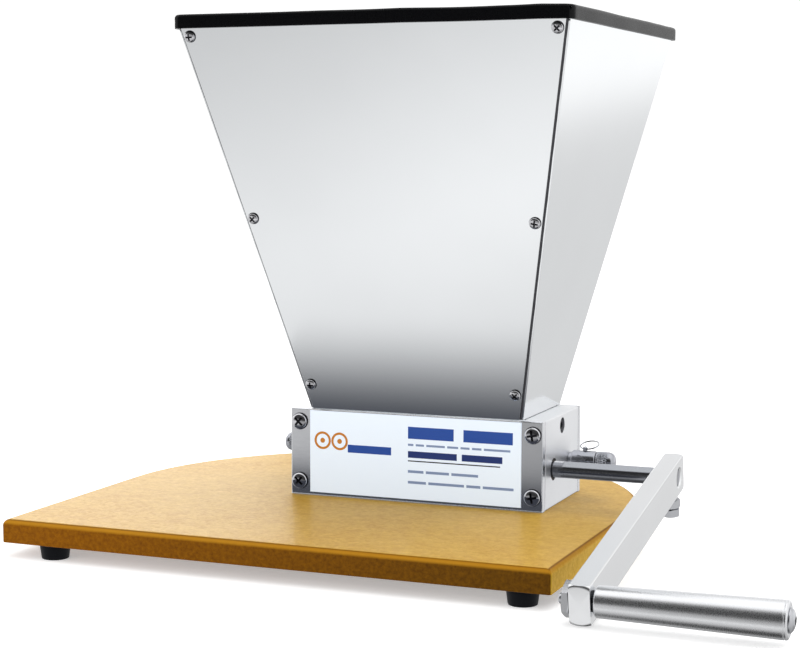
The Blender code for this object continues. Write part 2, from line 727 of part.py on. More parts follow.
# --------------------------------------------------------------- gap adjusters
for sx, side in ((-1, "left"), (1, "right")):
    facing = ALONG_X if sx > 0 else ALONG_MINUS_X
    knob_profile = [
        (0.0, KNOB_X1),
        (0.0022, KNOB_X1 - 0.0002),
        (0.0042, KNOB_X1 - 0.0010),
        (0.0055, KNOB_X1 - 0.0023),
        (0.0060, KNOB_X1 - 0.0036),
        (0.0060, KNURL_X1 - 0.0010),
        (NECK_R, KNURL_X1 - 0.0010),
        (NECK_R, PIN_X + 0.0016),
        (NECK_R - 0.0012, PIN_X + 0.0016),
        (NECK_R - 0.0012, PIN_X - 0.0016),
        (NECK_R, PIN_X - 0.0016),
        (NECK_R, 0.0811),
        (ECCENTRIC_R - 0.0004, 0.0811),
        (ECCENTRIC_R, 0.0807),
        (ECCENTRIC_R, 0.0700),
        (0.0, 0.0700),
    ]
    knob = thing(f"gap_knob_{side}", turned(knob_profile, 20), "steel",
                 (0.0, 0.0, 0.0), facing, ADJUSTER)
    knurl = slab(toothed_circle(0.00625, 0.0005, 20, flats=False), COLLAR_X1 + 0.0003, KNURL_X1)
    boolean(knob, tool(knurl, (0.0, 0.0, 0.0), facing, ADJUSTER), "UNION")
    boolean(knob, tool(rod(JOURNAL_R + RUNNING, 0.0690, 0.0795, 24),
                       (0.0, 0.0, IDLER_Z - ADJUST_Z), facing, ADJUSTER))
    smooth(knob, 20.0)

    collar_profile = [
        (COLLAR_R - 0.0004, COLLAR_X1),
        (COLLAR_R, COLLAR_X1 - 0.0004),
        (COLLAR_R, COLLAR_X0 + 0.0004),
        (COLLAR_R - 0.0004, COLLAR_X0),
        (0.0050, COLLAR_X0),
        (0.0050, BODY_W / 2 + 0.0002),
        (NECK_R + RUNNING, BODY_W / 2 + 0.0002),
        (NECK_R + RUNNING, COLLAR_X1),
    ]
    collar = thing(f"lock_collar_{side}", turned(collar_profile, 24, closed=True), "steel",
                   (0.0, IDLER_Y, ADJUST_Z), facing, ROOT)
    boolean(collar, tool(rod(0.0013, 0.0, 0.0100, 12), (sx * PIN_X, IDLER_Y, ADJUST_Z), parent=ROOT))
    smooth(collar)

    pin_slide = pivot(f"lock_pin_{side}_axis", (sx * PIN_X, IDLER_Y, ADJUST_Z),
                      (0.0, 0.0, sx * PIN_TURN), ROOT)
    pin_profile = [
        (0.0, PIN_EYE + 0.0017),
        (0.0010, PIN_EYE + 0.0015),
        (0.0015, PIN_EYE + 0.0010),
        (0.0015, COLLAR_R + 0.0003),
        (0.0012, COLLAR_R + 0.0003),
        (0.0012, 0.0034),
        (0.0009, 0.0031),
        (0.0, 0.0031),
    ]
    pin = thing(f"lock_pin_{side}", turned(pin_profile, 14), "steel", parent=pin_slide)
    boolean(pin, tool(rod(0.00075, -0.0030, 0.0030, 10), (0.0, 0.0, PIN_EYE), ALONG_X, pin_slide))
    smooth(pin)

    ring_hinge = pivot(f"pull_ring_{side}_axis", (0.0, 0.0, PIN_EYE), (RING_TILT, 0.0, 0.0), pin_slide)
    wire = []
    for i in range(6):
        angle = -2 * math.pi * i / 6
        wire.append((RING_R + RING_WIRE_R * math.cos(angle), RING_WIRE_R * math.sin(angle)))
    ring = thing(f"pull_ring_{side}", turned(wire, 26, closed=True), "steel",
                 (0.0, RING_R, 0.0), (0.0, 0.0, 0.0), ring_hinge)
    smooth(ring, 60.0)

# ----------------------------------------------------------------------- crank
def long_edge(edge):
    return abs(edge.verts[0].co.y - edge.verts[1].co.y) > 0.05


arm = thing("crank_arm",
            block((ARM_X0, -ARM_FRONT, -ARM_HALF_H), (ARM_X1, ARM_BACK, ARM_HALF_H), 0.0005, long_edge),
            "satin_aluminium", parent=CRANK)
end_profile = [
    (0.0, ARM_FRONT),
    (ARM_HALF_H - 0.0001, ARM_FRONT),
    (ARM_HALF_H + 0.0024, ARM_FRONT - 0.0034),
    (ARM_HALF_H + 0.0024, -ARM_BACK + 0.0034),
    (ARM_HALF_H - 0.0001, -ARM_BACK),
    (0.0, -ARM_BACK),
]
arm_middle = (ARM_X0 + ARM_X1) / 2
boolean(arm, tool(turned(end_profile, 48), (arm_middle, 0.0, 0.0), (math.pi / 2, 0.0, 0.0), CRANK),
        "INTERSECT")
arm_bore_profile = [
    (0.0, ARM_X1 + 0.0010),
    (SHAFT_R + 0.0024, ARM_X1 + 0.0010),
    (SHAFT_R + 0.0002, ARM_X1 - 0.0009),
    (SHAFT_R + 0.0002, ARM_X0 - 0.0010),
    (0.0, ARM_X0 - 0.0010),
]
boolean(arm, tool(turned(arm_bore_profile, 28), (0.0, 0.0, 0.0), ALONG_X, CRANK))
boolean(arm, tool(rod(HANDLE_BOLT_R + 0.0002, ARM_X0 - 0.002, ARM_X1 + 0.002, 20),
                  (0.0, -HANDLE_AT, 0.0), ALONG_X, CRANK))
boolean(arm, tool(rod(0.0027, -0.0130, 0.0, 14), (arm_middle, 0.0, 0.0), parent=CRANK))

lock_profile = [
    (0.0, -0.0047),
    (0.0020, -0.0047),
    (0.0025, -0.0052),
    (0.0025, -0.0236),
    (0.0, -0.0236),
]
set_screw = thing("crank_set_screw", turned(lock_profile, 14), "steel", (arm_middle, 0.0, 0.0),
                  parent=CRANK)
for start, end, turn in ((-0.0186, -0.0136, 12.0), (-0.0240, -0.0192, 40.0)):
    shape = tool(slab(hexagon(0.0100), start, end), (arm_middle, 0.0, 0.0),
                 (0.0, 0.0, math.radians(turn)), CRANK)
    bevel_profile = [
        (0.0, end + 0.0001),
        (0.0048, end + 0.0001),
        (0.0060, end - 0.0008),
        (0.0060, start + 0.0008),
        (0.0048, start - 0.0001),
        (0.0, start - 0.0001),
    ]
    boolean(shape, tool(turned(bevel_profile, 18), (arm_middle, 0.0, 0.0), parent=CRANK), "INTERSECT")
    boolean(set_screw, shape, "UNION")
smooth(set_screw, 25.0)

# ---------------------------------------------------------------- crank handle
bolt_profile = [
    (0.0, 0.2602),
    (0.0030, 0.2599),
    (0.0052, 0.2590),
    (0.0064, 0.2578),
    (0.0064, 0.2573),
    (HANDLE_BOLT_R, 0.2573),
    (HANDLE_BOLT_R, HANDLE_BOLT_END + 0.0006),
    (HANDLE_BOLT_R - 0.0006, HANDLE_BOLT_END),
    (0.0, HANDLE_BOLT_END),
]
handle_bolt = thing("handle_bolt", turned(bolt_profile, 20), "steel", (0.0, -HANDLE_AT, 0.0),
                    ALONG_X, CRANK)
boolean(handle_bolt, tool(slab(hexagon(0.0040), 0.2585, 0.2620), (0.0, -HANDLE_AT, 0.0),
                          ALONG_X, CRANK))
smooth(handle_bolt)

washer_profile = [
    (0.0056, 0.16045),
    (0.0056, 0.15965),
    (HANDLE_BOLT_R + 0.0001, 0.15965),
    (HANDLE_BOLT_R + 0.0001, 0.16045),
]
washer = thing("handle_washer", turned(washer_profile, 20, closed=True), "dark_steel",
               (0.0, -HANDLE_AT, 0.0), ALONG_X, CRANK)
smooth(washer)

nut_body = slab(hexagon(NUT_FLATS), NUT_X0, NUT_X1)
nut = thing("handle_nut", nut_body, "steel", (0.0, -HANDLE_AT, 0.0), parent=CRANK)
nut.rotation_euler = (Matrix.Rotation(-CRANK_TILT, 4, "X")
                      @ Matrix.Rotation(math.pi / 2, 4, "Y")).to_euler()
nut_round = [
    (0.0, NUT_X1 + 0.0001),
    (NUT_FLATS * 0.54, NUT_X1 + 0.0001),
    (NUT_FLATS * 0.60, NUT_X1 - 0.0005),
    (NUT_FLATS * 0.60, NUT_X0 + 0.0006),
    (NUT_FLATS * 0.53, NUT_X0 - 0.0001),
    (0.0, NUT_X0 - 0.0001),
]
boolean(nut, tool(turned(nut_round, 24), (0.0, -HANDLE_AT, 0.0), ALONG_X, CRANK), "INTERSECT")
boolean(nut, tool(rod(HANDLE_BOLT_R + 0.0001, NUT_X0 - 0.002, NUT_X1 + 0.002, 20),
                  (0.0, -HANDLE_AT, 0.0), ALONG_X, CRANK))
smooth(nut, 25.0)

grip_profile = [
    (GRIP_R1 - 0.0012, GRIP_X1),
    (GRIP_R1 - 0.0003, GRIP_X1 - 0.0006),
    (GRIP_R1, GRIP_X1 - 0.0014),
    (GRIP_R1 - 0.0004, GRIP_X1 - 0.0018),
    (GRIP_R1 - 0.0001, GRIP_X1 - 0.0023),
    (GRIP_R0, GRIP_X0 + 0.0006),
    (GRIP_R0 - 0.0006, GRIP_X0),
    (HANDLE_BOLT_R + RUNNING, GRIP_X0),
    (HANDLE_BOLT_R + RUNNING, GRIP_X1),
]
grip = thing("handle_grip", turned(grip_profile, 32, closed=True), "satin_aluminium",
             (0.0, 0.0, 0.0), ALONG_X, GRIP)
smooth(grip)

bpy.context.view_layer.update()
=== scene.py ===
"""Looks of the two-roller grain mill: finer pieces, materials, studio and camera.

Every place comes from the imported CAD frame. Lengths are in metres.
"""

import json
import math

import bmesh
import bpy
from mathutils import Matrix, Vector, noise

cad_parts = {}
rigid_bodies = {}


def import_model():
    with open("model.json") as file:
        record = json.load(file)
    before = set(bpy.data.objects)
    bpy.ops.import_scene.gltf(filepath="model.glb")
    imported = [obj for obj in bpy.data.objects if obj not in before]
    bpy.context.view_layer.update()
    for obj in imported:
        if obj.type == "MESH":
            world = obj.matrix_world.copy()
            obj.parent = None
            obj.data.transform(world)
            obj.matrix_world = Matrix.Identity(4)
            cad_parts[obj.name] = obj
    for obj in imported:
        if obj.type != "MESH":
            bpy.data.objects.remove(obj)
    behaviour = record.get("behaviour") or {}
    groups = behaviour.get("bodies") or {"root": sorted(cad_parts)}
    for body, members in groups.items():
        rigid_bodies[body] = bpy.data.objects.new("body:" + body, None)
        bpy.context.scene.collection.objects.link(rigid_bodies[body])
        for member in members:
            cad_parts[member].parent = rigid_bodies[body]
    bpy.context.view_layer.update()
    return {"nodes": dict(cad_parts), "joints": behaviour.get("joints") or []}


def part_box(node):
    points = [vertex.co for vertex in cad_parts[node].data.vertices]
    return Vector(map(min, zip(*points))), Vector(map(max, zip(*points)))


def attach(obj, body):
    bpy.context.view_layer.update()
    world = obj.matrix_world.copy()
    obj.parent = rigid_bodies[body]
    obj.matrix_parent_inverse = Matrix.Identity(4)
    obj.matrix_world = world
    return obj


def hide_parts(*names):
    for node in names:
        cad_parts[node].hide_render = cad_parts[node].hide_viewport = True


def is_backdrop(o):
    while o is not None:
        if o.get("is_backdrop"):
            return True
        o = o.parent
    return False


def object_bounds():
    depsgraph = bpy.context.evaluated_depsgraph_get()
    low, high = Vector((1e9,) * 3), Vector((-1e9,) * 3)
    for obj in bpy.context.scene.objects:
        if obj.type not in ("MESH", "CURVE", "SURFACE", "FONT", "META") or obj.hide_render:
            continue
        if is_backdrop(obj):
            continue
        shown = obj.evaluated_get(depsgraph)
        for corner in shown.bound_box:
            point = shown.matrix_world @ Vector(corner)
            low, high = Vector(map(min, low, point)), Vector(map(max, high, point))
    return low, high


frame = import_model()

# --------------------------------------------------------- places in the frame
JOINTS = {joint["name"]: joint for joint in frame["joints"]}
DRIVE = Vector(JOINTS["crank_turn"]["pos_m"])
GRIP = Vector(JOINTS["grip_spin"]["pos_m"])
ADJUST = Vector(JOINTS["gap_adjust"]["pos_m"])
MILL = Vector((DRIVE.x, (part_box("front_plate")[0].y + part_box("rear_plate")[1].y) / 2, 0.0))
TILT = math.atan2(DRIVE.z - GRIP.z, DRIVE.y - GRIP.y)
AT_CRANK = Matrix.Translation(DRIVE) @ Matrix.Rotation(TILT, 4, "X")
AT_GRIP = Matrix.Translation(GRIP) @ Matrix.Rotation(TILT, 4, "X")
AT_ADJUST = Matrix.Translation(ADJUST)
TO_PLUS_X = Matrix.Rotation(math.pi / 2, 4, "Y")
TO_MINUS_X = Matrix.Rotation(-math.pi / 2, 4, "Y")
SIDES = ((-1, "left"), (1, "right"))
FACES = ((-1, "front"), (1, "rear"))
# the way out of each corner of a rectangle, and the angle where its arc starts
CORNERS = ((1, 1, 0), (-1, 1, 90), (-1, -1, 180), (1, -1, 270))
# how far a cutter reaches past the face that it cuts through
PAST = 0.001


# ------------------------------------------------------------------- materials
def mixed(tree, share, first, second):
    """Colour between first and second, each of the three a socket or a value."""
    node = tree.nodes.new("ShaderNodeMix")
    node.data_type = "RGBA"
    for index, value in ((0, share), (6, first), (7, second)):
        if isinstance(value, bpy.types.NodeSocket):
            tree.links.new(value, node.inputs[index])
        else:
            node.inputs[index].default_value = value
    return node.outputs[2]


class Nodes:
    """Builds the node tree of one material, one call for each node."""

    def __init__(self, name):
        self.mat = bpy.data.materials.new(name)
        self.mat.use_nodes = True
        self.tree = self.mat.node_tree
        self.shader = self.tree.nodes["Principled BSDF"]
        self.place = self.add("ShaderNodeTexCoord").outputs["Object"]

    def add(self, kind, **inputs):
        node = self.tree.nodes.new(kind)
        for key, value in inputs.items():
            self.put(node, key.replace("_", " "), value)
        return node

    def put(self, node, key, value):
        socket = node.inputs[int(key[1:])] if key[0] == "i" and key[1:].isdigit() else node.inputs[key]
        if isinstance(value, bpy.types.NodeSocket):
            self.tree.links.new(value, socket)
        else:
            socket.default_value = value

    def set(self, **inputs):
        for key, value in inputs.items():
            self.put(self.shader, key.replace("_", " "), value)

    def stretched(self, scale):
        return self.add("ShaderNodeMapping", Vector=self.place, Scale=scale).outputs["Vector"]

    def noise(self, scale, detail=2.0, stretch=(1, 1, 1), rough=0.5):
        return self.add("ShaderNodeTexNoise", Vector=self.stretched(stretch), Scale=scale,
                        Detail=detail, Roughness=rough).outputs["Fac"]

    def ranged(self, value, low, high, to_low, to_high):
        node = self.add("ShaderNodeMapRange", i0=value, i1=low, i2=high, i3=to_low, i4=to_high)
        return node.outputs[0]

    def math(self, operation, a, b):
        node = self.add("ShaderNodeMath", i0=a, i1=b)
        node.operation = operation
        return node.outputs[0]

    def mix(self, share, first, second):
        return mixed(self.tree, share, first, second)

    def bump(self, height, strength, distance, normal=None):
        node = self.add("ShaderNodeBump", Height=height, Strength=strength, Distance=distance)
        if normal is not None:
            self.put(node, "Normal", normal)
        return node.outputs["Normal"]

    def rounded(self, radius):
        """Normals that look as if every edge had this radius."""
        node = self.add("ShaderNodeBevel", Radius=radius)
        node.samples = 6
        return node.outputs["Normal"]


def rgb(red, green, blue):
    """Linear colour from display values 0 to 255."""
    def linear(value):
        value /= 255.0
        return value / 12.92 if value <= 0.04045 else ((value + 0.055) / 1.055) ** 2.4
    return (linear(red), linear(green), linear(blue), 1.0)


def metal(name, colour, rough, stretch=(1, 1, 1), scale=900.0, depth=0.00001, spread=0.08,
          radius=0.0, tone=0.06, strength=0.25):
    """Bare metal with a fine grain along one direction and slow changes of tone."""
    n = Nodes(name)
    grain = n.noise(scale, 3.0, stretch)
    cloud = n.noise(18.0, 2.0)
    dark = tuple(c * (1.0 - 2.0 * tone) for c in colour[:3]) + (1.0,)
    n.set(Base_Color=n.mix(n.ranged(cloud, 0.3, 0.7, 0.0, 1.0), colour, dark),
          Metallic=1.0,
          Roughness=n.ranged(grain, 0.3, 0.7, max(0.03, rough - spread), rough + spread))
    normal = n.rounded(radius) if radius else None
    n.set(Normal=n.bump(grain, strength, depth, normal))
    return n.mat


SHEET = metal("satin_sheet", (0.925, 0.945, 0.962, 1.0), 0.13, (1.0, 1.0, 0.12), 2600.0,
              0.000003, 0.012, 0.0004, 0.010, 0.03)
PLATE = metal("milled_plate", (0.86, 0.87, 0.90, 1.0), 0.24, (0.08, 1.0, 1.0), 1500.0,
              0.000004, 0.015, 0.0005, 0.03, 0.04)
END_PLATE = metal("milled_end", (0.93, 0.94, 0.96, 1.0), 0.38, (1.0, 0.08, 1.0), 1500.0,
                  0.000004, 0.015, 0.0005, 0.02, 0.04)
CHROME = metal("bright_screw", (0.74, 0.74, 0.77, 1.0), 0.10, (1, 1, 1), 1500.0,
               0.000003, 0.02, 0.0, 0.05, 0.05)
# near-black metal for the insides of recesses and holes: painted shade where light does not reach
SHADE_RECESS = metal("painted_recess_shade", (0.06, 0.06, 0.07, 1.0), 0.40, (1, 1, 1), 900.0,
               0.000006, 0.06, 0.0, 0.05, 0.2)
KNOB = metal("turned_knob", (0.50, 0.51, 0.55, 1.0), 0.17, (1.0, 0.1, 0.1), 1500.0,
             0.000003, 0.02, 0.0, 0.04, 0.05)
WIRE = metal("spring_wire", (0.52, 0.53, 0.56, 1.0), 0.08, (1, 1, 1), 1500.0,
             0.000003, 0.02, 0.0, 0.04, 0.05)
ARM = metal("satin_arm", (0.955, 0.965, 0.98, 1.0), 0.24, (1.0, 0.08, 1.0), 1500.0,
            0.000004, 0.015, 0.0, 0.015, 0.04)
BLASTED = metal("blasted_grip", (0.91, 0.92, 0.94, 1.0), 0.29, (1, 1, 1), 2200.0,
                0.000012, 0.05, 0.0, 0.03, 0.4)
BRONZE = metal("sintered_bronze", (0.13, 0.09, 0.05, 1.0), 0.38, (1, 1, 1), 1200.0,
               0.00001, 0.06, 0.0, 0.08, 0.3)
BOLT = metal("zinc_bolt", (0.66, 0.67, 0.70, 1.0), 0.18, (1, 1, 1), 1600.0,
             0.000004, 0.03, 0.0, 0.06, 0.05)
NUT = metal("bright_nut", (0.84, 0.85, 0.88, 1.0), 0.14, (1, 1, 1), 1600.0,
            0.000004, 0.03, 0.0, 0.04, 0.05)
# near-black for the strips in the hopper's seams: painted shade of the gaps
SEAM_SHADE = metal("painted_seam_shade", (0.11, 0.11, 0.12, 1.0), 0.5, (1, 1, 1), 900.0,
             0.00001, 0.08, 0.0, 0.05, 0.3)


def shaft_steel():
    """Dark round steel with a painted highlight: faces turned along the crank's Z, up and down, are bright.
    """
    n = Nodes("shaft_steel")
    grain = n.noise(1200.0, 3.0, (1.0, 0.1, 0.1))
    local = n.add("ShaderNodeTexCoord").outputs["Normal"]
    painted_highlight_way = (AT_CRANK.to_3x3() @ Vector((0.0, 0.0, 1.0)))
    dot = n.add("ShaderNodeVectorMath", i0=local, i1=tuple(painted_highlight_way))
    dot.operation = "DOT_PRODUCT"
    # painted highlight: bright where the normal runs along the crank's Z, on the top and the bottom of the
    # shaft
    facing = n.ranged(n.math("ABSOLUTE", dot.outputs["Value"], 0.0), 0.93, 0.985, 0.0, 1.0)
    n.set(Base_Color=n.mix(facing, (0.33, 0.34, 0.37, 1.0), (0.86, 0.87, 0.89, 1.0)), Metallic=1.0,
          Roughness=n.ranged(grain, 0.3, 0.7, 0.20, 0.23))
    n.set(Normal=n.bump(grain, 0.04, 0.000004, n.rounded(0.0003)))
    return n.mat


SHAFT = shaft_steel()


def wood():
    """Varnished fibreboard: mottled tan face, edges that soaked up more varnish, and painted light on the
    edges.
    """
    n = Nodes("varnished_fibreboard")
    fibre = n.noise(420.0, 4.0, (1.0, 1.0, 1.0), 0.7)
    fleck = n.noise(1500.0, 2.0)
    cloud = n.noise(14.0, 3.0)
    face = n.mix(n.ranged(fibre, 0.35, 0.68, 0.0, 1.0), rgb(203, 162, 68), rgb(178, 136, 48))
    face = n.mix(n.ranged(fleck, 0.60, 0.72, 0.0, 0.5), face, rgb(150, 106, 34))
    face = n.mix(n.ranged(cloud, 0.35, 0.65, 0.0, 0.35), face, rgb(206, 170, 84))
    patch = n.noise(120.0, 5.0, (1.0, 1.4, 1.0), 0.65)
    face = n.mix(n.ranged(patch, 0.42, 0.66, 0.0, 0.42), face, rgb(172, 126, 42))
    # the edge gets darker towards +X, and is painted lighter where it faces +X: painted light from the right
    side = n.mix(n.ranged(fibre, 0.35, 0.68, 0.0, 1.0), rgb(130, 79, 1), rgb(102, 58, 1))
    darker_to_plus_x = n.mix(n.ranged(fibre, 0.35, 0.68, 0.0, 1.0), rgb(94, 60, 1), rgb(70, 42, 1))
    place = n.add("ShaderNodeSeparateXYZ",
                  Vector=n.add("ShaderNodeTexCoord").outputs["Generated"])
    side = n.mix(n.ranged(place.outputs["X"], 0.1, 0.9, 0.0, 1.0), side, darker_to_plus_x)
    # painted light: the side facing +X is lighter as if lit from the right
    painted_lit_side = n.mix(n.ranged(fibre, 0.35, 0.68, 0.0, 1.0), rgb(206, 164, 56), rgb(182, 142, 40))
    normal = n.tree.nodes.new("ShaderNodeNewGeometry").outputs["Normal"]
    way = n.add("ShaderNodeSeparateXYZ", Vector=normal)
    side = n.mix(n.ranged(way.outputs["X"], 0.5, 0.9, 0.0, 1.0), side, painted_lit_side)
    # the rounded edge is painted lighter where it turns up, painted light, with a dark line where the face
    # starts
    side = n.mix(n.ranged(way.outputs["Z"], 0.15, 0.55, 0.0, 0.75), side, rgb(172, 120, 26))
    side = n.mix(n.ranged(way.outputs["Z"], 0.78, 0.90, 0.0, 0.85), side, rgb(112, 70, 10))
    top = n.ranged(way.outputs["Z"], 0.93, 0.985, 0.0, 1.0)
    n.set(Base_Color=n.mix(top, side, face),
          Roughness=n.ranged(fibre, 0.3, 0.7, 0.42, 0.58),
          Coat_Weight=n.math("MULTIPLY", top, 0.22), Coat_Roughness=0.30,
          Specular_IOR_Level=0.06)
    n.set(Normal=n.bump(fibre, 0.25, 0.00006))
    return n.mat


def rubber(name, rough, tint=0.006, gloss=0.5, coat=0.0):
    """Black rubber or plastic with a fine skin."""
    n = Nodes(name)
    skin = n.noise(700.0, 3.0)
    n.set(Base_Color=n.mix(skin, (tint, tint, tint * 1.2, 1.0), (tint * 2.2, tint * 2.2, tint * 2.5, 1.0)),
          Roughness=n.ranged(skin, 0.3, 0.7, rough - 0.05, rough + 0.07), Specular_IOR_Level=gloss,
          Specular_Tint=(0.80, 0.86, 1.0, 1.0), Coat_Weight=coat, Coat_Roughness=0.10)
    n.set(Normal=n.bump(skin, 0.15, 0.00002))
    return n.mat


def film(name, colour, other, glow=0.0):
    """Printed plastic film with a faint texture; glow makes it emit, a painted light."""
    n = Nodes(name)
    cloud = n.noise(40.0, 2.0)
    skin = n.noise(900.0, 2.0)
    n.set(Base_Color=n.mix(cloud, colour, other),
          Roughness=n.ranged(skin, 0.3, 0.7, 0.32, 0.42),
          Emission_Color=(0.80, 0.90, 1.0, 1.0), Emission_Strength=glow)
    n.set(Normal=n.bump(skin, 0.08, 0.00001))
    return n.mat


WOOD = wood()
TRIM = rubber("trim_rubber", 0.26, 0.0015, 0.02, 0.22)
FOOT = rubber("foot_rubber", 0.45, 0.002, 0.15)
BLACK = rubber("black_washer", 0.30)
# the white film glows a little: painted light that keeps the label bright in shade
LABEL = film("label_white", rgb(198, 209, 222), rgb(196, 207, 221), 0.32)
INK_BLUE = film("label_blue", rgb(24, 74, 164), rgb(20, 68, 156))
INK_NAVY = film("label_navy", rgb(20, 44, 110), rgb(24, 50, 118))
INK_GREY = film("label_grey", rgb(130, 150, 186), rgb(122, 142, 180))
INK_OCHRE = film("label_ochre", rgb(198, 126, 34), rgb(190, 118, 28))
INK_BLACK = film("label_black", rgb(30, 30, 34), rgb(36, 36, 40))


# ---------------------------------------------------------------- mesh helpers
def to_mesh(bm, name, sharp=None):
    """Mesh of bm, smooth except at edges over sharp degrees; flat where sharp is None."""
    bmesh.ops.remove_doubles(bm, verts=bm.verts, dist=1e-7)
    bmesh.ops.recalc_face_normals(bm, faces=bm.faces)
    mesh = bpy.data.meshes.new(name)
    bm.to_mesh(mesh)
    bm.free()
    if sharp is not None:
        mesh.shade_smooth()
        mesh.set_sharp_from_angle(angle=math.radians(sharp))
    return mesh


def circle(radius, count, phase=0.0):
    return [(radius * math.cos(phase + 2 * math.pi * i / count),
             radius * math.sin(phase + 2 * math.pi * i / count)) for i in range(count)]


def lathe(profile, sides=64, sharp=35.0):
    """Solid of revolution about Z from (radius, height) points."""
    bm = bmesh.new()
    rings = []
    for radius, height in profile:
        if radius < 1e-7:
            rings.append([bm.verts.new((0.0, 0.0, height))])
        else:
            rings.append([bm.verts.new((x, y, height)) for x, y in circle(radius, sides)])
    for low, high in zip(rings, rings[1:]):
        for i in range(sides):
            j = (i + 1) % sides
            loop = [low[i % len(low)], low[j % len(low)], high[j % len(high)], high[i % len(high)]]
            loop = list(dict.fromkeys(loop))
            if len(loop) > 2:
                bm.faces.new(loop)
    return to_mesh(bm, "lathe", sharp)


def bore(radius, top, bottom, sides):
    """Cutter for a plain hole between two faces across Z."""
    return lathe([(0.0, top + PAST), (radius, top + PAST), (radius, bottom - PAST), (0.0, bottom - PAST)],
                 sides)


def soft_profile(points, radius=0.0003, steps=3):
    """The same profile with its inner corners rounded."""
    result = [points[0]]
    for before, here, after in zip(points, points[1:], points[2:]):
        a, b, c = Vector(before), Vector(here), Vector(after)
        reach = min(radius, (a - b).length * 0.45, (c - b).length * 0.45)
        start = b + (a - b).normalized() * reach
        end = b + (c - b).normalized() * reach
        for i in range(steps + 1):
            t = i / steps
            point = start * (1 - t) ** 2 + b * (2 * t * (1 - t)) + end * t ** 2
            result.append((point.x, point.y))
    result.append(points[-1])
    return result


def round_box(low, high, radius, steps=3, sharp=30.0, test=None):
    """Box between two corners with rounded edges."""
    low, high = Vector(low), Vector(high)
    bm = bmesh.new()
    bmesh.ops.create_cube(bm, size=1.0)
    for vert in bm.verts:
        vert.co = Vector(a * b for a, b in zip(vert.co, high - low)) + (low + high) / 2
    if radius:
        edges = [e for e in bm.edges if test is None or test(e)]
        bmesh.ops.bevel(bm, geom=edges, offset=radius, segments=steps, affect="EDGES",
                        profile=0.5, clamp_overlap=True)
    return to_mesh(bm, "box", sharp)


def prism(outline, z0, z1, sharp=30.0):
    """Flat-ended solid with an XY outline."""
    bm = bmesh.new()
    low = [bm.verts.new((x, y, z0)) for x, y in outline]
    high = [bm.verts.new((x, y, z1)) for x, y in outline]
    count = len(outline)
    for i in range(count):
        j = (i + 1) % count
        bm.faces.new((low[i], low[j], high[j], high[i]))
    bm.faces.new(low[::-1])
    bm.faces.new(high)
    return to_mesh(bm, "prism", sharp)


def combined(mesh, cutters, sharp=30.0):
    """Mesh after a list of (operation, other mesh, matrix) booleans."""
    target = bpy.data.objects.new("target", mesh)
    bpy.context.scene.collection.objects.link(target)
    others = []
    for operation, other, matrix in cutters:
        tool = bpy.data.objects.new("tool", other)
        tool.matrix_world = matrix
        bpy.context.scene.collection.objects.link(tool)
        others.append(tool)
        mod = target.modifiers.new("cut", "BOOLEAN")
        mod.operation = operation
        mod.solver = "EXACT"
        mod.object = tool
    bpy.context.view_layer.update()
    depsgraph = bpy.context.evaluated_depsgraph_get()
    result = bpy.data.meshes.new_from_object(target.evaluated_get(depsgraph), depsgraph=depsgraph)
    for obj in others + [target]:
        bpy.data.objects.remove(obj, do_unlink=True)
    bm = bmesh.new()
    bm.from_mesh(result)
    bmesh.ops.remove_doubles(bm, verts=bm.verts, dist=1e-6)
    bmesh.ops.dissolve_degenerate(bm, edges=bm.edges, dist=1e-6)
    bm.to_mesh(result)
    bm.free()
    result.shade_smooth()
    result.set_sharp_from_angle(angle=math.radians(sharp))
    return result


def with_recess(mesh, mat, all_recess=False):
    """Gives a mesh its material and the painted shade of a recess, and returns it."""
    mesh.materials.append(mat)
    mesh.materials.append(SHADE_RECESS)
    if all_recess:
        for polygon in mesh.polygons:
            polygon.material_index = 1
    return mesh


def piece(name, mesh, mats, body, nodes=(), matrix=None, weighted=False):
    """A visible piece that rides on a body and stands for CAD nodes."""
    obj = bpy.data.objects.new(name, mesh)
    bpy.context.scene.collection.objects.link(obj)
    if not mesh.materials:
        for mat in mats if isinstance(mats, (list, tuple)) else [mats]:
            mesh.materials.append(mat)
    if matrix is not None:
        obj.matrix_world = matrix
    if weighted:
        mod = obj.modifiers.new("normals", "WEIGHTED_NORMAL")
        mod.keep_sharp = True
    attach(obj, body)
    if nodes:
        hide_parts(*([nodes] if isinstance(nodes, str) else nodes))
    return obj


def box_in(node, matrix):
    """Lowest and highest corner of a CAD node, measured in another frame."""
    back = matrix.inverted()
    points = [back @ v.co for v in frame["nodes"][node].data.vertices]
    return (Vector([min(p[i] for p in points) for i in range(3)]),
            Vector([max(p[i] for p in points) for i in range(3)]))


def dress(node, mat):
    """A CAD node that stays gets this material."""
    obj = frame["nodes"][node]
    if not obj.data.materials:
        obj.data.materials.append(mat)
    for entry in obj.material_slots:
        entry.material = mat


# ------------------------------------------------------------------- the board
board_low, board_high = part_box("base_board")
chute_low = Vector((MILL.x - 0.0640, MILL.y - 0.0290))
chute_high = Vector((MILL.x + 0.0640, MILL.y + 0.0290))
board_radius = (board_high.x - board_low.x) / 2
board_centre = Vector(((board_high.x + board_low.x) / 2, board_high.y - board_radius))
CORNER_R = 0.0012
ROUNDOVER = 0.0036


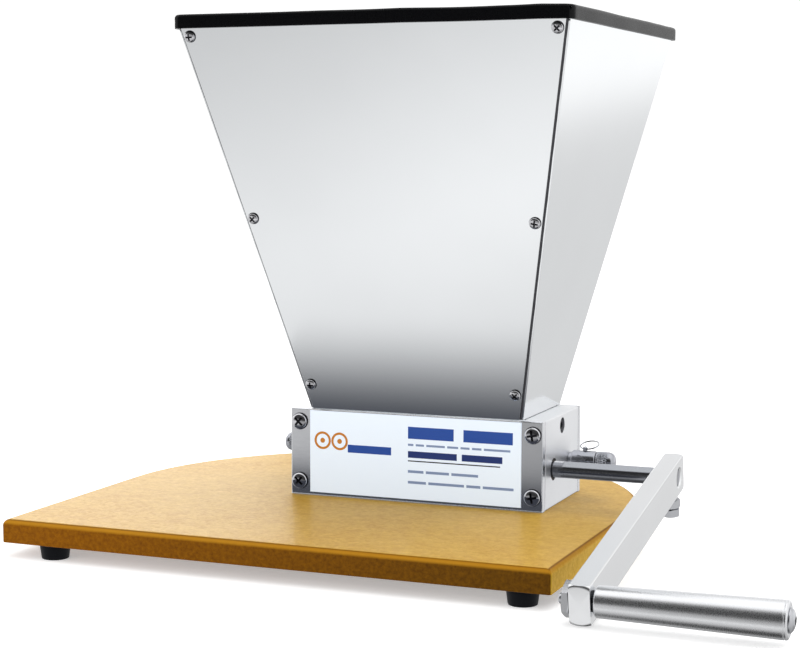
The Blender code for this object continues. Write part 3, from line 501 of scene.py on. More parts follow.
def board_ring(inset):
    """Board outline pulled in by inset, the same number of points each time."""
    x0, x1, y0 = board_low.x + inset, board_high.x - inset, board_low.y + inset
    points = []
    for cx, sx, start in ((x0, 1, 180), (x1, -1, 270)):
        for i in range(6):
            angle = math.radians(start + 90 * i / 5)
            points.append((cx + sx * CORNER_R + CORNER_R * math.cos(angle),
                           y0 + CORNER_R + CORNER_R * math.sin(angle)))
        if sx == 1:
            points += [(x0 + (x1 - x0) * i / 12, y0) for i in range(1, 12)]
    points += [(x1, y0 + (board_centre.y - y0) * i / 8) for i in range(1, 8)]
    for i in range(97):
        angle = math.pi * i / 96
        points.append((board_centre.x + (board_radius - inset) * math.cos(angle),
                       board_centre.y + (board_radius - inset) * math.sin(angle)))
    points += [(x0, board_centre.y + (y0 - board_centre.y) * i / 8) for i in range(1, 8)]
    return points


def rounded_rectangle(low, high, radius, steps):
    points = []
    for sx, sy, start in CORNERS:
        cx = (high.x if sx > 0 else low.x) - sx * radius
        cy = (high.y if sy > 0 else low.y) - sy * radius
        for i in range(steps + 1):
            angle = math.radians(start + 90 * i / steps)
            points.append((cx + radius * math.cos(angle), cy + radius * math.sin(angle)))
    return points


def board_mesh():
    bm = bmesh.new()
    z0, z1 = board_low.z, board_high.z
    levels = [(0.0008, z0), (0.0002, z0 + 0.0002), (0.0, z0 + 0.0008)]
    for i in range(9):
        angle = math.radians(90 * i / 8)
        levels.append((ROUNDOVER * (1 - math.cos(angle)), z1 - ROUNDOVER * (1 - math.sin(angle))))
    rings = [[bm.verts.new((x, y, z)) for x, y in board_ring(inset)] for inset, z in levels]
    hole = rounded_rectangle(chute_low, chute_high, 0.006, 6)
    wide = rounded_rectangle(chute_low - Vector((0.0005, 0.0005)), chute_high + Vector((0.0005, 0.0005)),
                             0.0065, 6)
    walls = [[bm.verts.new((x, y, z)) for x, y in shape]
             for shape, z in ((wide, z0), (hole, z0 + 0.0005), (hole, z1 - 0.0005), (wide, z1))]
    for stack in (rings, walls):
        for low, high in zip(stack, stack[1:]):
            for i in range(len(low)):
                j = (i + 1) % len(low)
                bm.faces.new((low[i], low[j], high[j], high[i]))
    bm.edges.ensure_lookup_table()
    for outer, inner in ((rings[0], walls[0]), (rings[-1], walls[-1])):
        edges = []
        for loop in (outer, inner):
            for a, b in zip(loop, loop[1:] + loop[:1]):
                edges.append(bm.edges.get((a, b)))
        bmesh.ops.triangle_fill(bm, use_beauty=True, use_dissolve=False, edges=edges)
    return to_mesh(bm, "board", 25.0)


bolt_names = [f"base_bolt_{side}_{face}" for _, side in SIDES for _, face in FACES]
bolt_places = []
for name in bolt_names:
    low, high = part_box(name)
    bolt_places.append(Vector(((low.x + high.x) / 2, (low.y + high.y) / 2, board_low.z)))
board_cuts = []
for place in bolt_places:
    board_cuts.append(("DIFFERENCE", lathe([(0.0, 0.0052), (0.0056, 0.0052), (0.0056, 0.0004),
                                            (0.0066, -0.0006), (0.0066, -0.002), (0.0, -0.002)], 40),
                       Matrix.Translation(place)))
piece("fibreboard_base", combined(board_mesh(), board_cuts, 25.0), WOOD, "frame",
      "base_board", weighted=True)

# --------------------------------------------------------------- feet and bolts
for _, face in FACES:
    for _, side in SIDES:
        node = f"foot_{face}_{side}"
        low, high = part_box(node)
        top_r = (high.x - low.x) / 2
        height = high.z - low.z
        profile = soft_profile([
            (0.0, height), (top_r, height), (top_r - 0.0011, 0.0), (0.0046, 0.0), (0.0040, 0.0022),
            (0.0, 0.0022)], 0.0008, 4)
        middle = Vector(((low.x + high.x) / 2, (low.y + high.y) / 2, low.z))
        piece(f"bumper_{face}_{side}", lathe(profile, 64, 40.0), FOOT, "frame", node,
              Matrix.Translation(middle))
        screw = lathe(soft_profile([(0.0, 0.0023), (0.0034, 0.0023), (0.0034, 0.0016), (0.0020, 0.0009),
                                    (0.0, 0.0008)], 0.0003), 40)
        slit = round_box((-0.0050, -0.00045, 0.0002), (0.0050, 0.00045, 0.0013), 0.0)
        piece(f"bumper_screw_{face}_{side}", combined(screw, [("DIFFERENCE", slit, Matrix())]), BOLT,
              "frame", (), Matrix.Translation(middle))

socket = prism(circle(0.0029, 6), -0.001, 0.0028)
bolt_head = combined(
    lathe(soft_profile([(0.0, 0.0050), (0.0050, 0.0050), (0.0050, 0.0006), (0.0, 0.0006)], 0.0006, 4), 56),
    [("DIFFERENCE", socket, Matrix())])
for name, place in zip(bolt_names, bolt_places):
    piece("socket_" + name, bolt_head, BOLT, "frame", name, Matrix.Translation(place))

# the sheet metal reflects the studio, not the board and what hangs under it
for obj in bpy.context.scene.objects:
    if obj.name.startswith(("fibreboard_", "bumper_", "socket_base_")):
        obj.visible_glossy = False

# -------------------------------------------------------------- roller housing
for _, side in SIDES:
    dress(f"end_plate_{side}", END_PLATE)
    # the screw inside the end plate's hole takes the dark recess material: painted shade in the hole
    dress(f"hopper_retainer_{side}", SHADE_RECESS)
    dress(f"drive_bush_{side}", BRONZE)
for _, face in FACES:
    dress(f"{face}_plate", PLATE)
    dress(f"hopper_{face}_panel", SHEET)
for _, side in SIDES:
    dress(f"hopper_side_{side}", SHEET)


def label_mesh():
    """White film with generic print: two rollers, and bars where lines of words would be."""
    low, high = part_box("front_label")
    wide, tall = high.x - low.x, high.z - low.z
    lift = 0.00003
    y = low.y - lift
    blue, navy, grey, ochre, black = 1, 2, 3, 4, 5
    bars = [
        (0.475, 0.690, 0.800, 0.072, blue), (0.735, 0.962, 0.800, 0.072, blue),
        (0.475, 0.705, 0.540, 0.040, navy), (0.728, 0.915, 0.540, 0.040, navy),
        (0.475, 0.905, 0.462, 0.007, black), (0.185, 0.395, 0.560, 0.048, blue),
    ]
    rows = ((0.655, 0.013, (0.475, 0.512, 0.562, 0.660, 0.722, 0.775, 0.830, 0.962)),
            (0.335, 0.016, (0.475, 0.560, 0.680, 0.815)),
            (0.205, 0.016, (0.475, 0.572, 0.750, 0.826, 0.978)))
    for z, half, stops in rows:
        bars += [(x0, x1 - 0.011, z, half, grey) for x0, x1 in zip(stops, stops[1:])]
    bm = bmesh.new()
    bmesh.ops.create_cube(bm, size=1.0)
    for vert in bm.verts:
        vert.co = Vector(a * b for a, b in zip(vert.co, high - low)) + (low + high) / 2

    def raised(outline, ink):
        front = [bm.verts.new((px, y, pz)) for px, pz in outline]
        back = [bm.verts.new((px, low.y, pz)) for px, pz in outline]
        faces = [bm.faces.new(front), bm.faces.new(back[::-1])]
        for i in range(len(front)):
            j = (i + 1) % len(front)
            faces.append(bm.faces.new((front[i], back[i], back[j], front[j])))
        for face in faces:
            face.material_index = ink

    for x0, x1, z, half, ink in bars:
        x0, x1 = low.x + x0 * wide, low.x + x1 * wide
        z0, z1 = low.z + (z - half) * tall, low.z + (z + half) * tall
        raised([(x0, z0), (x1, z0), (x1, z1), (x0, z1)], ink)
    steps = 48
    outer, inner, dot = 0.0056, 0.0041, 0.0016
    for share in (0.062, 0.145):
        cx, cz = low.x + share * wide, low.z + 0.640 * tall
        rings = [[bm.verts.new((cx + px, depth, cz + pz)) for px, pz in circle(radius, steps)]
                 for radius, depth in ((outer, y), (inner, y), (inner, low.y), (outer, low.y))]
        for one, other in zip(rings, rings[1:] + rings[:1]):
            for i in range(steps):
                j = (i + 1) % steps
                bm.faces.new((one[i], one[j], other[j], other[i])).material_index = ochre
        raised([(cx + px, cz + pz) for px, pz in circle(dot, 24)], ochre)
    return to_mesh(bm, "label")


piece("info_label", label_mesh(), [LABEL, INK_BLUE, INK_NAVY, INK_GREY, INK_OCHRE, INK_BLACK],
      "frame", "front_label")


# ------------------------------------------------------------------- fasteners
def cross_screw(radius, height, arm, slot, depth):
    """Pan head with a cross recess over a spring washer, seat at zero, head up +Z."""
    rim = height * 0.40
    profile = [(0.0, height)]
    for i in range(1, 11):
        angle = math.radians(90 * i / 10)
        profile.append((radius * math.sin(angle) ** 0.8, rim + (height - rim) * math.cos(angle)))
    profile += [(radius * 0.985, rim * 0.70), (radius * 0.90, rim * 0.60), (radius * 0.90, rim * 0.48),
                (radius * 1.04, rim * 0.42), (radius * 1.06, rim * 0.34), (radius * 1.06, 0.0), (0.0, 0.0)]
    head = with_recess(lathe(profile, 56), CHROME)
    # the neck under the head and the washer take the dark recess material: painted shade under the head
    for polygon in head.polygons:
        if polygon.center.z < rim * 0.62:
            polygon.material_index = 1
    cutters = []
    for turn in (0.0, math.pi / 2):
        bm = bmesh.new()
        bmesh.ops.create_cube(bm, size=2.0)
        for vert in bm.verts:
            top = vert.co.z > 0
            vert.co.x *= arm if top else arm * 0.50
            vert.co.y *= slot / 2 * (1.0 if top else 0.7)
            vert.co.z = height * 1.05 if top else height - depth
        # the cross recess takes the dark recess material: painted shade in the recess
        shape = with_recess(to_mesh(bm, "slot"), CHROME, True)
        cutters.append(("DIFFERENCE", shape, Matrix.Rotation(turn, 4, "Z")))
    return combined(head, cutters, 32.0)


BIG_HEAD = 0.0030
SMALL_HEAD = 0.0021
big_screw = cross_screw(0.0050, BIG_HEAD, 0.0037, 0.0015, 0.0019)
small_screw = cross_screw(0.0034, SMALL_HEAD, 0.0024, 0.0011, 0.0013)


def seat_matrix(node, lean):
    """A turn by lean about X, with the middle and top of the CAD screw's head in that turned frame."""
    obj = frame["nodes"][node]
    turn = Matrix.Rotation(lean, 4, "X")
    back = turn.inverted()
    local = [back @ v.co for v in obj.data.vertices]
    top = max(p.z for p in local)
    head = [p for p in local if p.z > top - 0.0004]
    middle = sum(head, Vector()) / len(head)
    return turn, middle, top


front_low, front_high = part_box("hopper_front_panel")
HOPPER_LEAN = math.atan2(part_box("front_plate")[0].y - front_low.y + 0.0007, front_high.z - front_low.z)
for sign, face in FACES:
    for _, side in SIDES:
        for level in ("upper", "lower"):
            node = f"{face}_cover_screw_{side}_{level}"
            turn, middle, top = seat_matrix(node, -sign * math.pi / 2)
            seat = turn @ Vector((middle.x, middle.y, top - BIG_HEAD))
            spin = Matrix.Rotation(0.6 + 0.9 * len(level + side), 4, "Z")
            piece("cross_" + node, big_screw, CHROME, "frame", node,
                  Matrix.Translation(seat) @ turn @ spin)
        for level in ("upper", "middle", "lower"):
            node = f"{face}_hopper_screw_{side}_{level}"
            turn, middle, top = seat_matrix(node, -sign * (math.pi / 2 + HOPPER_LEAN))
            seat = turn @ Vector((middle.x, middle.y, top - SMALL_HEAD))
            spin = Matrix.Rotation(0.7 * len(level + side), 4, "Z")
            piece("cross_" + node, small_screw, CHROME, "frame", node,
                  Matrix.Translation(seat) @ turn @ spin)


# -------------------------------------------------- seams at the hopper's corners
def panel_edge(z):
    """Half width and outer half depth of the front panel at height z."""
    share = (z - front_low.z) / (front_high.z - front_low.z)
    corners = frame["nodes"]["hopper_front_panel"].data.vertices
    foot = [v.co for v in corners if v.co.z < front_low.z + 0.0002]
    head = [v.co for v in corners if v.co.z > front_high.z - 0.0002]
    wide = [max(p.x for p in row) - MILL.x for row in (foot, head)]
    deep = [MILL.y - min(p.y for p in row) for row in (foot, head)]
    return wide[0] + (wide[1] - wide[0]) * share, deep[0] + (deep[1] - deep[0]) * share


def seam_mesh(sx, sy):
    """Dark strip along the cut edge of a panel: painted shade in the seam."""
    trim_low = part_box("hopper_rim_trim")[0].z
    bm = bmesh.new()
    rings = []
    for i in range(41):
        z = front_low.z + 0.0003 + (trim_low - front_low.z) * i / 40
        wide, deep = panel_edge(z)
        wobble = 0.00010 * math.sin(i * 1.7) * math.sin(i * 0.63)
        ring = []
        for across, out in ((-0.0002, -0.0012), (-0.0002, -0.0003), (0.0003, -0.0003),
                            (0.0008 + wobble, -0.0008), (0.0010 + wobble, -0.0014), (0.0004, -0.0016)):
            ring.append(bm.verts.new((MILL.x + sx * (wide + across), MILL.y + sy * (deep + out), z)))
        rings.append(ring)
    for low_ring, high_ring in zip(rings, rings[1:]):
        for i in range(6):
            j = (i + 1) % 6
            bm.faces.new((low_ring[i], low_ring[j], high_ring[j], high_ring[i]))
    bm.faces.new(rings[0])
    bm.faces.new(rings[-1])
    return to_mesh(bm, "seam", 50.0)


# a dark strip in each corner seam paints the shade of the gap
for sx, side in SIDES:
    for sy, face in FACES:
        piece(f"seam_shade_strip_{face}_{side}", seam_mesh(sx, sy), SEAM_SHADE, "frame")

# -------------------------------------------------------------------- rim trim
trim_low, trim_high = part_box("hopper_rim_trim")
TRIM_H = trim_high.z - trim_low.z
TRIM_OUT = 0.0023
TRIM_SECTION = [
    (-0.0023, -1.000), (-0.0023, -0.330), (-0.0022, -0.190), (-0.0018, -0.085), (-0.0011, -0.020),
    (-0.0003, 0.0), (0.0007, 0.0), (0.0017, 0.0), (0.0025, -0.025), (0.0031, -0.090), (0.0034, -0.200),
    (0.0037, -0.500), (0.0041, -0.850), (0.0038, -1.000),
]


def trim_mesh():
    """Rubber channel with the slight waves of a hand-fitted strip."""
    inner_low = Vector((trim_low.x + TRIM_OUT, trim_low.y + TRIM_OUT))
    inner_high = Vector((trim_high.x - TRIM_OUT, trim_high.y - TRIM_OUT))
    radius = 0.0043
    path = []
    for (sx, sy, start), (next_x, next_y, _) in zip(CORNERS, CORNERS[1:] + CORNERS[:1]):
        cx = (inner_high.x if sx > 0 else inner_low.x) - sx * radius
        cy = (inner_high.y if sy > 0 else inner_low.y) - sy * radius
        for i in range(11):
            angle = math.radians(start + 9 * i)
            out = Vector((math.cos(angle), math.sin(angle)))
            path.append((Vector((cx, cy)) + out * radius, out))
        end = Vector(((inner_high.x if next_x > 0 else inner_low.x) - next_x * radius,
                      (inner_high.y if next_y > 0 else inner_low.y) - next_y * radius))
        first = Vector((cx, cy)) + out * radius
        last = end + out * radius
        for i in range(1, 60):
            path.append((first.lerp(last, i / 60), out))
    bm = bmesh.new()
    rings = []
    for point, out in path:
        sway = noise.noise(Vector((point.x * 22.0, point.y * 22.0, 3.1))) * 0.0006
        lift = -abs(noise.noise(Vector((point.x * 17.0, point.y * 17.0, 9.4)))) * 0.0011
        ring = []
        for inward, drop in TRIM_SECTION:
            low_share = -drop
            spot = point - out * inward + out * (sway * low_share - 0.00018)
            ring.append(bm.verts.new((spot.x, spot.y, trim_high.z + drop * TRIM_H * 0.995
                                      + lift * (1.0 - 0.6 * low_share))))
        rings.append(ring)
    for one, other in zip(rings, rings[1:] + rings[:1]):
        for i in range(len(TRIM_SECTION)):
            j = (i + 1) % len(TRIM_SECTION)
            bm.faces.new((one[i], one[j], other[j], other[i]))
    return to_mesh(bm, "trim", 60.0)


PANEL_INSET = 0.0020


def frustum_mesh(z0, z1, pad):
    """Four-sided solid that follows the hopper's outer faces, moved out by pad."""
    bm = bmesh.new()
    bmesh.ops.create_cube(bm, size=2.0)
    for vert in bm.verts:
        z = z1 if vert.co.z > 0 else z0
        wide, deep = panel_edge(z)
        vert.co = (MILL.x + math.copysign(wide + PANEL_INSET + pad[0], vert.co.x),
                   MILL.y + math.copysign(deep + pad[1], vert.co.y), z)
    return to_mesh(bm, "frustum")


slot_top = front_high.z + 0.0004
slot_mesh = combined(frustum_mesh(trim_low.z - 0.003, slot_top, (0.0002, 0.0002)),
                     [("DIFFERENCE", frustum_mesh(trim_low.z - 0.004, slot_top + 0.001,
                                                  (-0.0017, -0.0020)), Matrix())])
piece("rubber_rim", combined(trim_mesh(), [("DIFFERENCE", slot_mesh, Matrix())], 60.0), TRIM, "frame",
      "hopper_rim_trim")

# -------------------------------------------------------- rollers, knobs, pins
dress("drive_roller", SHAFT)
dress("idler_roller", SHAFT)
KNURL_COUNT = 30


def knurled(radius, depth, x0, x1, rows=9, sides=180):
    """Rings of points with a diamond knurl between two heights."""
    rings = []
    for k in range(rows + 1):
        x = x0 + (x1 - x0) * k / rows
        ring = []
        for i in range(sides):
            turn = i / sides * KNURL_COUNT
            shift = (x - x0) / 0.0026
            a = abs(((turn + shift) % 1.0) * 2 - 1)
            b = abs(((turn - shift) % 1.0) * 2 - 1)
            r = radius - depth * max(a, b) ** 2 * (1.0 if 0 < k < rows else 0.5)
            angle = 2 * math.pi * i / sides
            ring.append((r * math.cos(angle), r * math.sin(angle), x))
        rings.append(ring)
    return rings


def knob_mesh(low, end, collar_end):
    """Gap knob on +Z: eccentric inside the plate, thin neck, knurled ring and rounded cap."""
    knurl_end = end - 0.0039
    bm = bmesh.new()
    sides = 180

    def ring(radius, z):
        return [(x, y, z) for x, y in circle(radius, sides)]

    neck, cam = 0.0040, 0.0079
    shapes = [ring(0.0002, low), ring(cam - 0.0004, low), ring(cam, low + 0.0004),
              ring(cam, low + 0.0107), ring(cam - 0.0004, low + 0.0111), ring(neck, low + 0.0111),
              ring(neck, collar_end + 0.0003), ring(0.0056, collar_end + 0.0003),
              ring(0.0060, collar_end + 0.0005)]
    shapes += knurled(0.00625, 0.00040, collar_end + 0.0011, knurl_end - 0.0004)
    shapes += [ring(0.0061, knurl_end - 0.0001), ring(0.0061, knurl_end + 0.0003)]
    for i in range(1, 13):
        angle = math.radians(90 * i / 12)
        shapes.append(ring(0.0002 + 0.0058 * math.cos(angle) ** 0.75 if i < 12 else 0.0002,
                           knurl_end + 0.0003 + (end - knurl_end - 0.0003) * math.sin(angle)))
    rows = [[bm.verts.new(co) for co in shape] for shape in shapes]
    for one, other in zip(rows, rows[1:]):
        for i in range(sides):
            j = (i + 1) % sides
            bm.faces.new((one[i], one[j], other[j], other[i]))
    bm.faces.new(rows[0][::-1])
    bm.faces.new(rows[-1])
    return to_mesh(bm, "knob", 28.0)


for sx, side in SIDES:
    facing = TO_PLUS_X if sx > 0 else TO_MINUS_X
    here = AT_ADJUST @ facing
    low, high = box_in(f"gap_knob_{side}", here)
    collar_low, collar_high = box_in(f"lock_collar_{side}", here)
    piece(f"knurled_knob_{side}", knob_mesh(low.z, high.z, collar_high.z), KNOB, "adjuster",
          f"gap_knob_{side}", here)
    radius, hub, hole_r = collar_high.x, 0.0050, 0.0041
    top, shoulder, foot = collar_high.z, collar_low.z + 0.0018, collar_low.z
    collar = lathe(soft_profile([
        (hole_r, top), (radius - 0.0005, top), (radius, top - 0.0005), (radius, foot + 0.0026),
        (radius - 0.0005, shoulder), (hub, shoulder), (hub, foot), (hole_r, foot)], 0.0002, 3)
        + [(hole_r, top)], 72, 35.0)
    pin_low, pin_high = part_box(f"lock_pin_{side}")
    pin_middle = Vector(((pin_low.x + pin_high.x) / 2, (pin_low.y + pin_high.y) / 2, ADJUST.z))
    hole = lathe([(0.0, 0.012), (0.0014, 0.012), (0.0014, 0.0), (0.0, 0.0)], 32)
    to_hole = here.inverted() @ Matrix.Translation(pin_middle)
    piece(f"turned_collar_{side}", combined(collar, [("DIFFERENCE", hole, to_hole)]), KNOB, "frame",
          f"lock_collar_{side}", here)
    dress(f"lock_pin_{side}", WIRE)
    dress(f"pull_ring_{side}", WIRE)

# ----------------------------------------------------------------------- crank
arm_low, arm_high = box_in("crank_arm", AT_CRANK)
arm_x = (arm_low.x + arm_high.x) / 2
arm_tall = arm_high.z
SHAFT_R = 0.0051
BOLT_R = 0.0030
BOLT_HOLE_R = BOLT_R + 0.0001
grip_y = (AT_CRANK.inverted() @ GRIP).y
arm_ends = lathe(soft_profile([
    (0.0, -arm_low.y), (arm_tall - 0.0001, -arm_low.y), (arm_tall + 0.0024, -arm_low.y - 0.0034),
    (arm_tall + 0.0024, -arm_high.y + 0.0034), (arm_tall - 0.0001, -arm_high.y), (0.0, -arm_high.y)],
    0.0012, 5), 96)
along_minus_y = Matrix.Translation((arm_x, 0.0, 0.0)) @ Matrix.Rotation(math.pi / 2, 4, "X")
shaft_bore = lathe([(0.0, arm_high.x + PAST), (SHAFT_R + 0.0024, arm_high.x + PAST),
                    (SHAFT_R + 0.0002, arm_high.x - 0.0009), (SHAFT_R + 0.0002, arm_low.x - PAST),
                    (0.0, arm_low.x - PAST)], 64)
bolt_bore = bore(BOLT_R + 0.0002, arm_high.x, arm_low.x, 48)
screw_bore = lathe([(0.0, 0.0), (0.0027, 0.0), (0.0027, -0.0130), (0.0, -0.0130)], 40)
arm_mesh = combined(
    round_box(arm_low, arm_high, 0.0007, 5, test=lambda e: abs(e.verts[0].co.y - e.verts[1].co.y) > 0.05),
    [("INTERSECT", arm_ends, along_minus_y),
     ("DIFFERENCE", shaft_bore, TO_PLUS_X),
     ("DIFFERENCE", bolt_bore, Matrix.Translation((0.0, grip_y, 0.0)) @ TO_PLUS_X),
     ("DIFFERENCE", screw_bore, Matrix.Translation((arm_x, 0.0, 0.0)))], 8.0)
piece("satin_crank_arm", arm_mesh, ARM, "crank", "crank_arm", AT_CRANK)


def hex_nut(flats, z0, z1, phase=0.0, flare=0.56):
    """Hexagon with its corners chamfered at both ends."""
    corner = flats / math.sqrt(3.0)
    chamfer = corner - flats * 0.5
    keep = lathe([(0.0, z1 + 1e-5), (flats * 0.49, z1 + 1e-5), (corner + 0.0004, z1 - chamfer * flare),
                  (corner + 0.0004, z0 + chamfer * flare), (flats * 0.49, z0 - 1e-5), (0.0, z0 - 1e-5)], 72)
    return combined(prism(circle(corner, 6, phase), z0, z1), [("INTERSECT", keep, Matrix())], 24.0)


screw_low, screw_high = box_in("crank_set_screw", AT_CRANK)
at_screw = AT_CRANK @ Matrix.Translation((arm_x, 0.0, 0.0))
upper_nut = hex_nut(0.0100, screw_low.z + 0.0054, screw_low.z + 0.0104, math.radians(12))
lower_nut = hex_nut(0.0100, screw_low.z, screw_low.z + 0.0048, math.radians(40))
thread = lathe([(0.0, screw_high.z), (0.0020, screw_high.z), (0.0025, screw_high.z - 0.0005),
                (0.0025, screw_low.z + 0.0002), (0.0, screw_low.z + 0.0002)], 40)
piece("set_screw_stack",
      combined(thread, [("UNION", upper_nut, Matrix()), ("UNION", lower_nut, Matrix())], 24.0),
      BOLT, "crank", "crank_set_screw", at_screw)

nut_low, nut_high = box_in("handle_nut", AT_GRIP)
bolt_low, bolt_high = box_in("handle_bolt", AT_GRIP)
level = AT_GRIP @ Matrix.Rotation(-TILT, 4, "X") @ TO_PLUS_X
nut_hole = bore(BOLT_HOLE_R, nut_high.x, nut_low.x, 48)
handle_nut = combined(hex_nut(0.0170, nut_low.x, nut_high.x, 0.0, 0.45),
                      [("DIFFERENCE", nut_hole, Matrix())], 24.0)
piece("handle_lock_nut", handle_nut, NUT, "crank", "handle_nut", level)

head = bolt_high.x
bolt_profile = soft_profile([
    (0.0, head), (0.0030, head - 0.0003), (0.0052, head - 0.0012), (0.0064, head - 0.0024),
    (0.0064, head - 0.0029), (BOLT_R, head - 0.0029), (BOLT_R, bolt_low.x + 0.0008),
    (BOLT_R - 0.0008, bolt_low.x), (0.0, bolt_low.x)], 0.0004, 4)
# the hex socket takes the dark recess material: painted shade in the socket
hex_key = with_recess(prism(circle(0.0023, 6), head - 0.0017, head + PAST), BOLT, True)
bolt_body = with_recess(lathe(bolt_profile, 72), BOLT)
piece("dome_bolt", combined(bolt_body, [("DIFFERENCE", hex_key, Matrix())]), BOLT, "crank",
      "handle_bolt", AT_GRIP @ TO_PLUS_X)

washer_low, washer_high = box_in("handle_washer", AT_GRIP)
piece("black_spacer", lathe(soft_profile([
    (BOLT_HOLE_R, washer_high.x), (washer_high.y, washer_high.x), (washer_high.y, washer_low.x),
    (BOLT_HOLE_R, washer_low.x)], 0.0001, 2) + [(BOLT_HOLE_R, washer_high.x)], 64),
    BLACK, "crank", "handle_washer", AT_GRIP @ TO_PLUS_X)

grip_low, grip_high = box_in("handle_grip", AT_GRIP)
r0, r1 = 0.0083, grip_high.z
grip_end = grip_high.x
grip_profile = soft_profile([
    (BOLT_HOLE_R, grip_end), (r1 - 0.0012, grip_end), (r1 - 0.0003, grip_end - 0.0006),
    (r1, grip_end - 0.0014), (r1 - 0.0005, grip_end - 0.0018), (r1 - 0.0001, grip_end - 0.0024),
    (r0, grip_low.x + 0.0008), (r0 - 0.0008, grip_low.x), (BOLT_HOLE_R, grip_low.x)], 0.0003, 3)
piece("blasted_handle_grip", lathe(grip_profile + [(BOLT_HOLE_R, grip_end)], 96, 40.0), BLASTED,
      "grip", "handle_grip", AT_GRIP @ TO_PLUS_X)

# ---------------------------------------------------------------------- studio
world = bpy.data.worlds.new("studio")
world.use_nodes = True
bpy.context.scene.world = world
tree = world.node_tree
back = tree.nodes["Background"]
direction = tree.nodes.new("ShaderNodeTexCoord").outputs["Generated"]
split = tree.nodes.new("ShaderNodeSeparateXYZ")
tree.links.new(direction, split.inputs[0])


def sky_ramp(stops, height=split.outputs["Z"]):
    """Brightness against height: stops of (degrees above the horizon, brightness)."""
    scale = tree.nodes.new("ShaderNodeMapRange")
    scale.inputs[1].default_value = -1.0
    scale.inputs[2].default_value = 1.0
    tree.links.new(height, scale.inputs[0])
    ramp = tree.nodes.new("ShaderNodeValToRGB")
    ramp.color_ramp.interpolation = "EASE"
    elements = ramp.color_ramp.elements
    while len(elements) > 1:
        elements.remove(elements[-1])
    for i, (degrees, value) in enumerate(stops):
        position = (math.sin(math.radians(degrees)) + 1) / 2
        element = elements[0] if i == 0 else elements.new(position)
        element.position = position
        element.color = (value, value, value, 1.0)
    tree.links.new(scale.outputs[0], ramp.inputs[0])
    return ramp.outputs[0]


front_sky = sky_ramp([(-90, 0.03), (-74, 0.06), (-64, 0.40), (-57, 0.62), (-44, 0.66), (-40, 0.82),
                      (-36.5, 1.03), (-34, 0.92), (-31, 0.78), (-28, 0.60), (-22, 0.44), (-8, 0.40),
                      (-3, 0.12), (5, 0.04), (40, 0.05), (52, 0.40), (62, 1.0), (90, 1.25)])
side_sky = sky_ramp([(-90, 0.03), (-74, 0.06), (-60, 0.45), (-20, 0.74), (-4, 0.84), (15, 0.95), (90, 1.20)])
front_left_sky = sky_ramp([(-90, 0.03), (-74, 0.06), (-64, 0.40), (-57, 0.60), (-44, 0.60), (-40, 0.75),
                           (-36.5, 0.94), (-34, 0.84), (-31, 0.70), (-28, 0.60), (-20, 0.74), (-8, 0.84),
                           (-3, 0.40), (5, 0.05), (40, 0.05), (52, 0.40), (62, 1.0), (90, 1.25)])
# the bright part of the back wall starts higher towards the left
slant = tree.nodes.new("ShaderNodeMapRange")
for index, value in ((1, 0.20), (2, 0.32), (3, -0.045), (4, 0.045)):
    slant.inputs[index].default_value = value
tree.links.new(split.outputs["X"], slant.inputs[0])
slanted = tree.nodes.new("ShaderNodeMath")
tree.links.new(split.outputs["Z"], slanted.inputs[0])
tree.links.new(slant.outputs[0], slanted.inputs[1])
back_sky = sky_ramp([(-90, 0.03), (-74, 0.08), (-60, 0.24), (-40, 0.36), (-24, 0.36), (-21, 0.40),
                     (-17.5, 0.60), (-15.5, 0.70), (-6.4, 0.71), (-4.6, 1.10), (-3.4, 1.08), (0, 1.0),
                     (10, 1.06), (24, 0.80), (42, 0.78), (56, 1.05), (90, 1.25)], slanted.outputs[0])


def weight(low, high, axis="Y"):
    """0 to 1 as the direction's share along an axis goes from low to high."""
    node = tree.nodes.new("ShaderNodeMapRange")
    node.interpolation_type = "SMOOTHSTEP"
    node.inputs[1].default_value = low
    node.inputs[2].default_value = high
    tree.links.new(split.outputs[axis], node.inputs[0])
    return node.outputs[0]


front = mixed(tree, weight(-0.32, -0.42, "X"), front_sky, front_left_sky)
reflected = mixed(tree, weight(-0.35, -0.55), side_sky, front)
reflected = mixed(tree, weight(0.45, 0.75), reflected, back_sky)
# reflections see the dark and bright cards of the studio, all else a white dome
rays = tree.nodes.new("ShaderNodeLightPath")
dome = (1.08, 1.08, 1.08, 1.0)
tree.links.new(mixed(tree, rays.outputs["Is Glossy Ray"], dome, reflected), back.inputs["Color"])
back.inputs["Strength"].default_value = 1.0

floor_bm = bmesh.new()
bmesh.ops.create_grid(floor_bm, x_segments=1, y_segments=1, size=30.0)
floor = bpy.data.objects.new("floor", to_mesh(floor_bm, "floor"))
floor_mat = Nodes("floor_white")
floor_mat.set(Base_Color=(0.80, 0.80, 0.80, 1.0), Roughness=0.9, Specular_IOR_Level=0.1,
              Emission_Color=(1.0, 1.0, 1.0, 1.0), Emission_Strength=0.36)
floor.data.materials.append(floor_mat.mat)
bpy.context.scene.collection.objects.link(floor)
floor.visible_glossy = False
floor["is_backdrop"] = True


def softbox(name, place, target, size, power, glossy=False):
    """Rectangular light, hidden from the camera and, unless glossy, from reflections."""
    light = bpy.data.lights.new(name, "AREA")
    light.shape = "RECTANGLE"
    light.size, light.size_y = size
    light.energy = power
    obj = bpy.data.objects.new(name, light)
    obj.location = place
    obj.rotation_euler = (Vector(target) - Vector(place)).to_track_quat("-Z", "Y").to_euler()
    bpy.context.scene.collection.objects.link(obj)
    obj.visible_camera = False
    obj.visible_glossy = glossy
    return obj


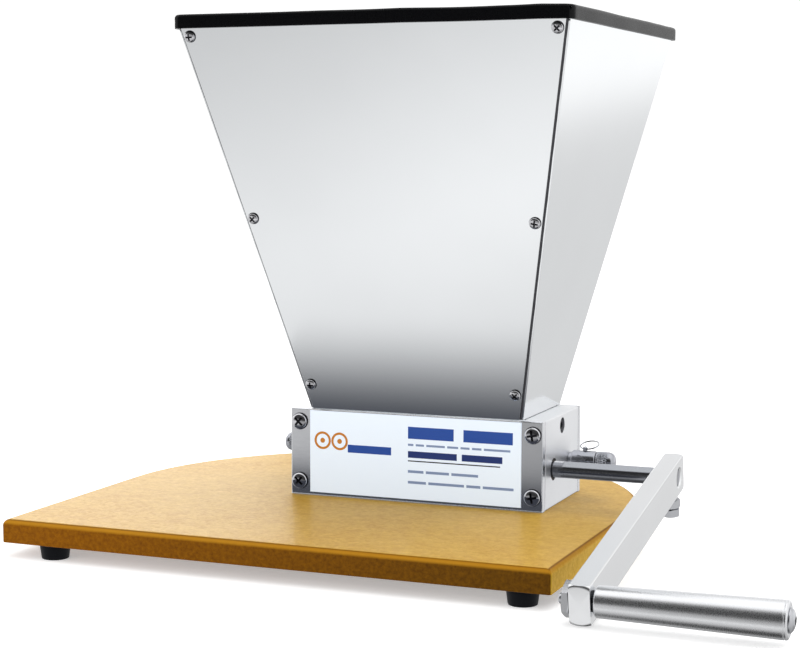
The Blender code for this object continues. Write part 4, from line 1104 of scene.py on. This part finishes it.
softbox("key_above", (0.4, 0.5, 2.2), (0.0, 0.0, 0.1), (2.0, 2.0), 25.0)
softbox("fill_right", (2.3, 0.7, 0.7), (0.0, 0.0, 0.05), (1.4, 1.0), 16.0)
softbox("kick_left", (-1.7, 1.9, 0.55), (-0.15, -0.1, 0.02), (1.3, 0.7), 9.0, True)
softbox("fill_front", (-0.9, -2.4, 0.9), (0.0, 0.0, 0.05), (1.6, 1.0), 14.0)


def card(name, place, size, colour):
    """Level card that only reflections see, clear from below and fading in along +Y."""
    bm = bmesh.new()
    bmesh.ops.create_grid(bm, x_segments=1, y_segments=1, size=0.5)
    obj = bpy.data.objects.new(name, to_mesh(bm, name))
    bpy.context.scene.collection.objects.link(obj)
    obj.scale = (size[0], size[1], 1.0)
    obj.location = place
    mat = bpy.data.materials.new(name)
    mat.use_nodes = True
    nodes, links = mat.node_tree.nodes, mat.node_tree.links
    nodes.clear()
    ends = nodes.new("ShaderNodeOutputMaterial")
    shares = nodes.new("ShaderNodeMixShader")
    glow = nodes.new("ShaderNodeEmission")
    glow.inputs["Color"].default_value = colour
    clear = nodes.new("ShaderNodeBsdfTransparent")
    where = nodes.new("ShaderNodeTexCoord")
    axes = nodes.new("ShaderNodeSeparateXYZ")
    soft = nodes.new("ShaderNodeMapRange")
    soft.interpolation_type = "SMOOTHSTEP"
    soft.inputs[1].default_value, soft.inputs[2].default_value = -0.5, 0.25
    facing = nodes.new("ShaderNodeNewGeometry")
    upper = nodes.new("ShaderNodeMath")
    upper.operation = "SUBTRACT"
    upper.use_clamp = True
    links.new(where.outputs["Object"], axes.inputs[0])
    links.new(axes.outputs["Y"], soft.inputs[0])
    links.new(soft.outputs[0], upper.inputs[0])
    links.new(facing.outputs["Backfacing"], upper.inputs[1])
    links.new(upper.outputs[0], shares.inputs[0])
    links.new(clear.outputs[0], shares.inputs[1])
    links.new(glow.outputs[0], shares.inputs[2])
    links.new(shares.outputs[0], ends.inputs["Surface"])
    obj.data.materials.append(mat)
    obj.visible_camera = False
    obj.visible_diffuse = False
    obj.visible_shadow = False
    obj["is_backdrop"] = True


front_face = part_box("front_plate")[0].y
# black, low in front of the hopper
card("black_card", (MILL.x - 0.0076, front_face - 0.076, board_high.z + 0.0004), (0.270, 0.150),
     (0.055, 0.06, 0.075, 1.0))

# the camera's place and lens come from the object's edges, matched to the photograph's view
camera_data = bpy.data.cameras.new("camera")
camera = bpy.data.objects.new("camera", camera_data)
bpy.context.scene.collection.objects.link(camera)
camera.location = (0.3796, -1.0556, 0.2412)
camera.rotation_euler = (math.radians(83.887), 0.0, math.radians(22.787))
camera_data.lens = 83.52
camera_data.sensor_width = 36.0
camera_data.shift_x = 0.045
camera_data.shift_y = 0.025
camera_data.clip_start = 0.05
camera_data.clip_end = 100.0
scene = bpy.context.scene
scene.camera = camera
scene.view_settings.view_transform = "Standard"
scene.view_settings.look = "None"

low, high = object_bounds()
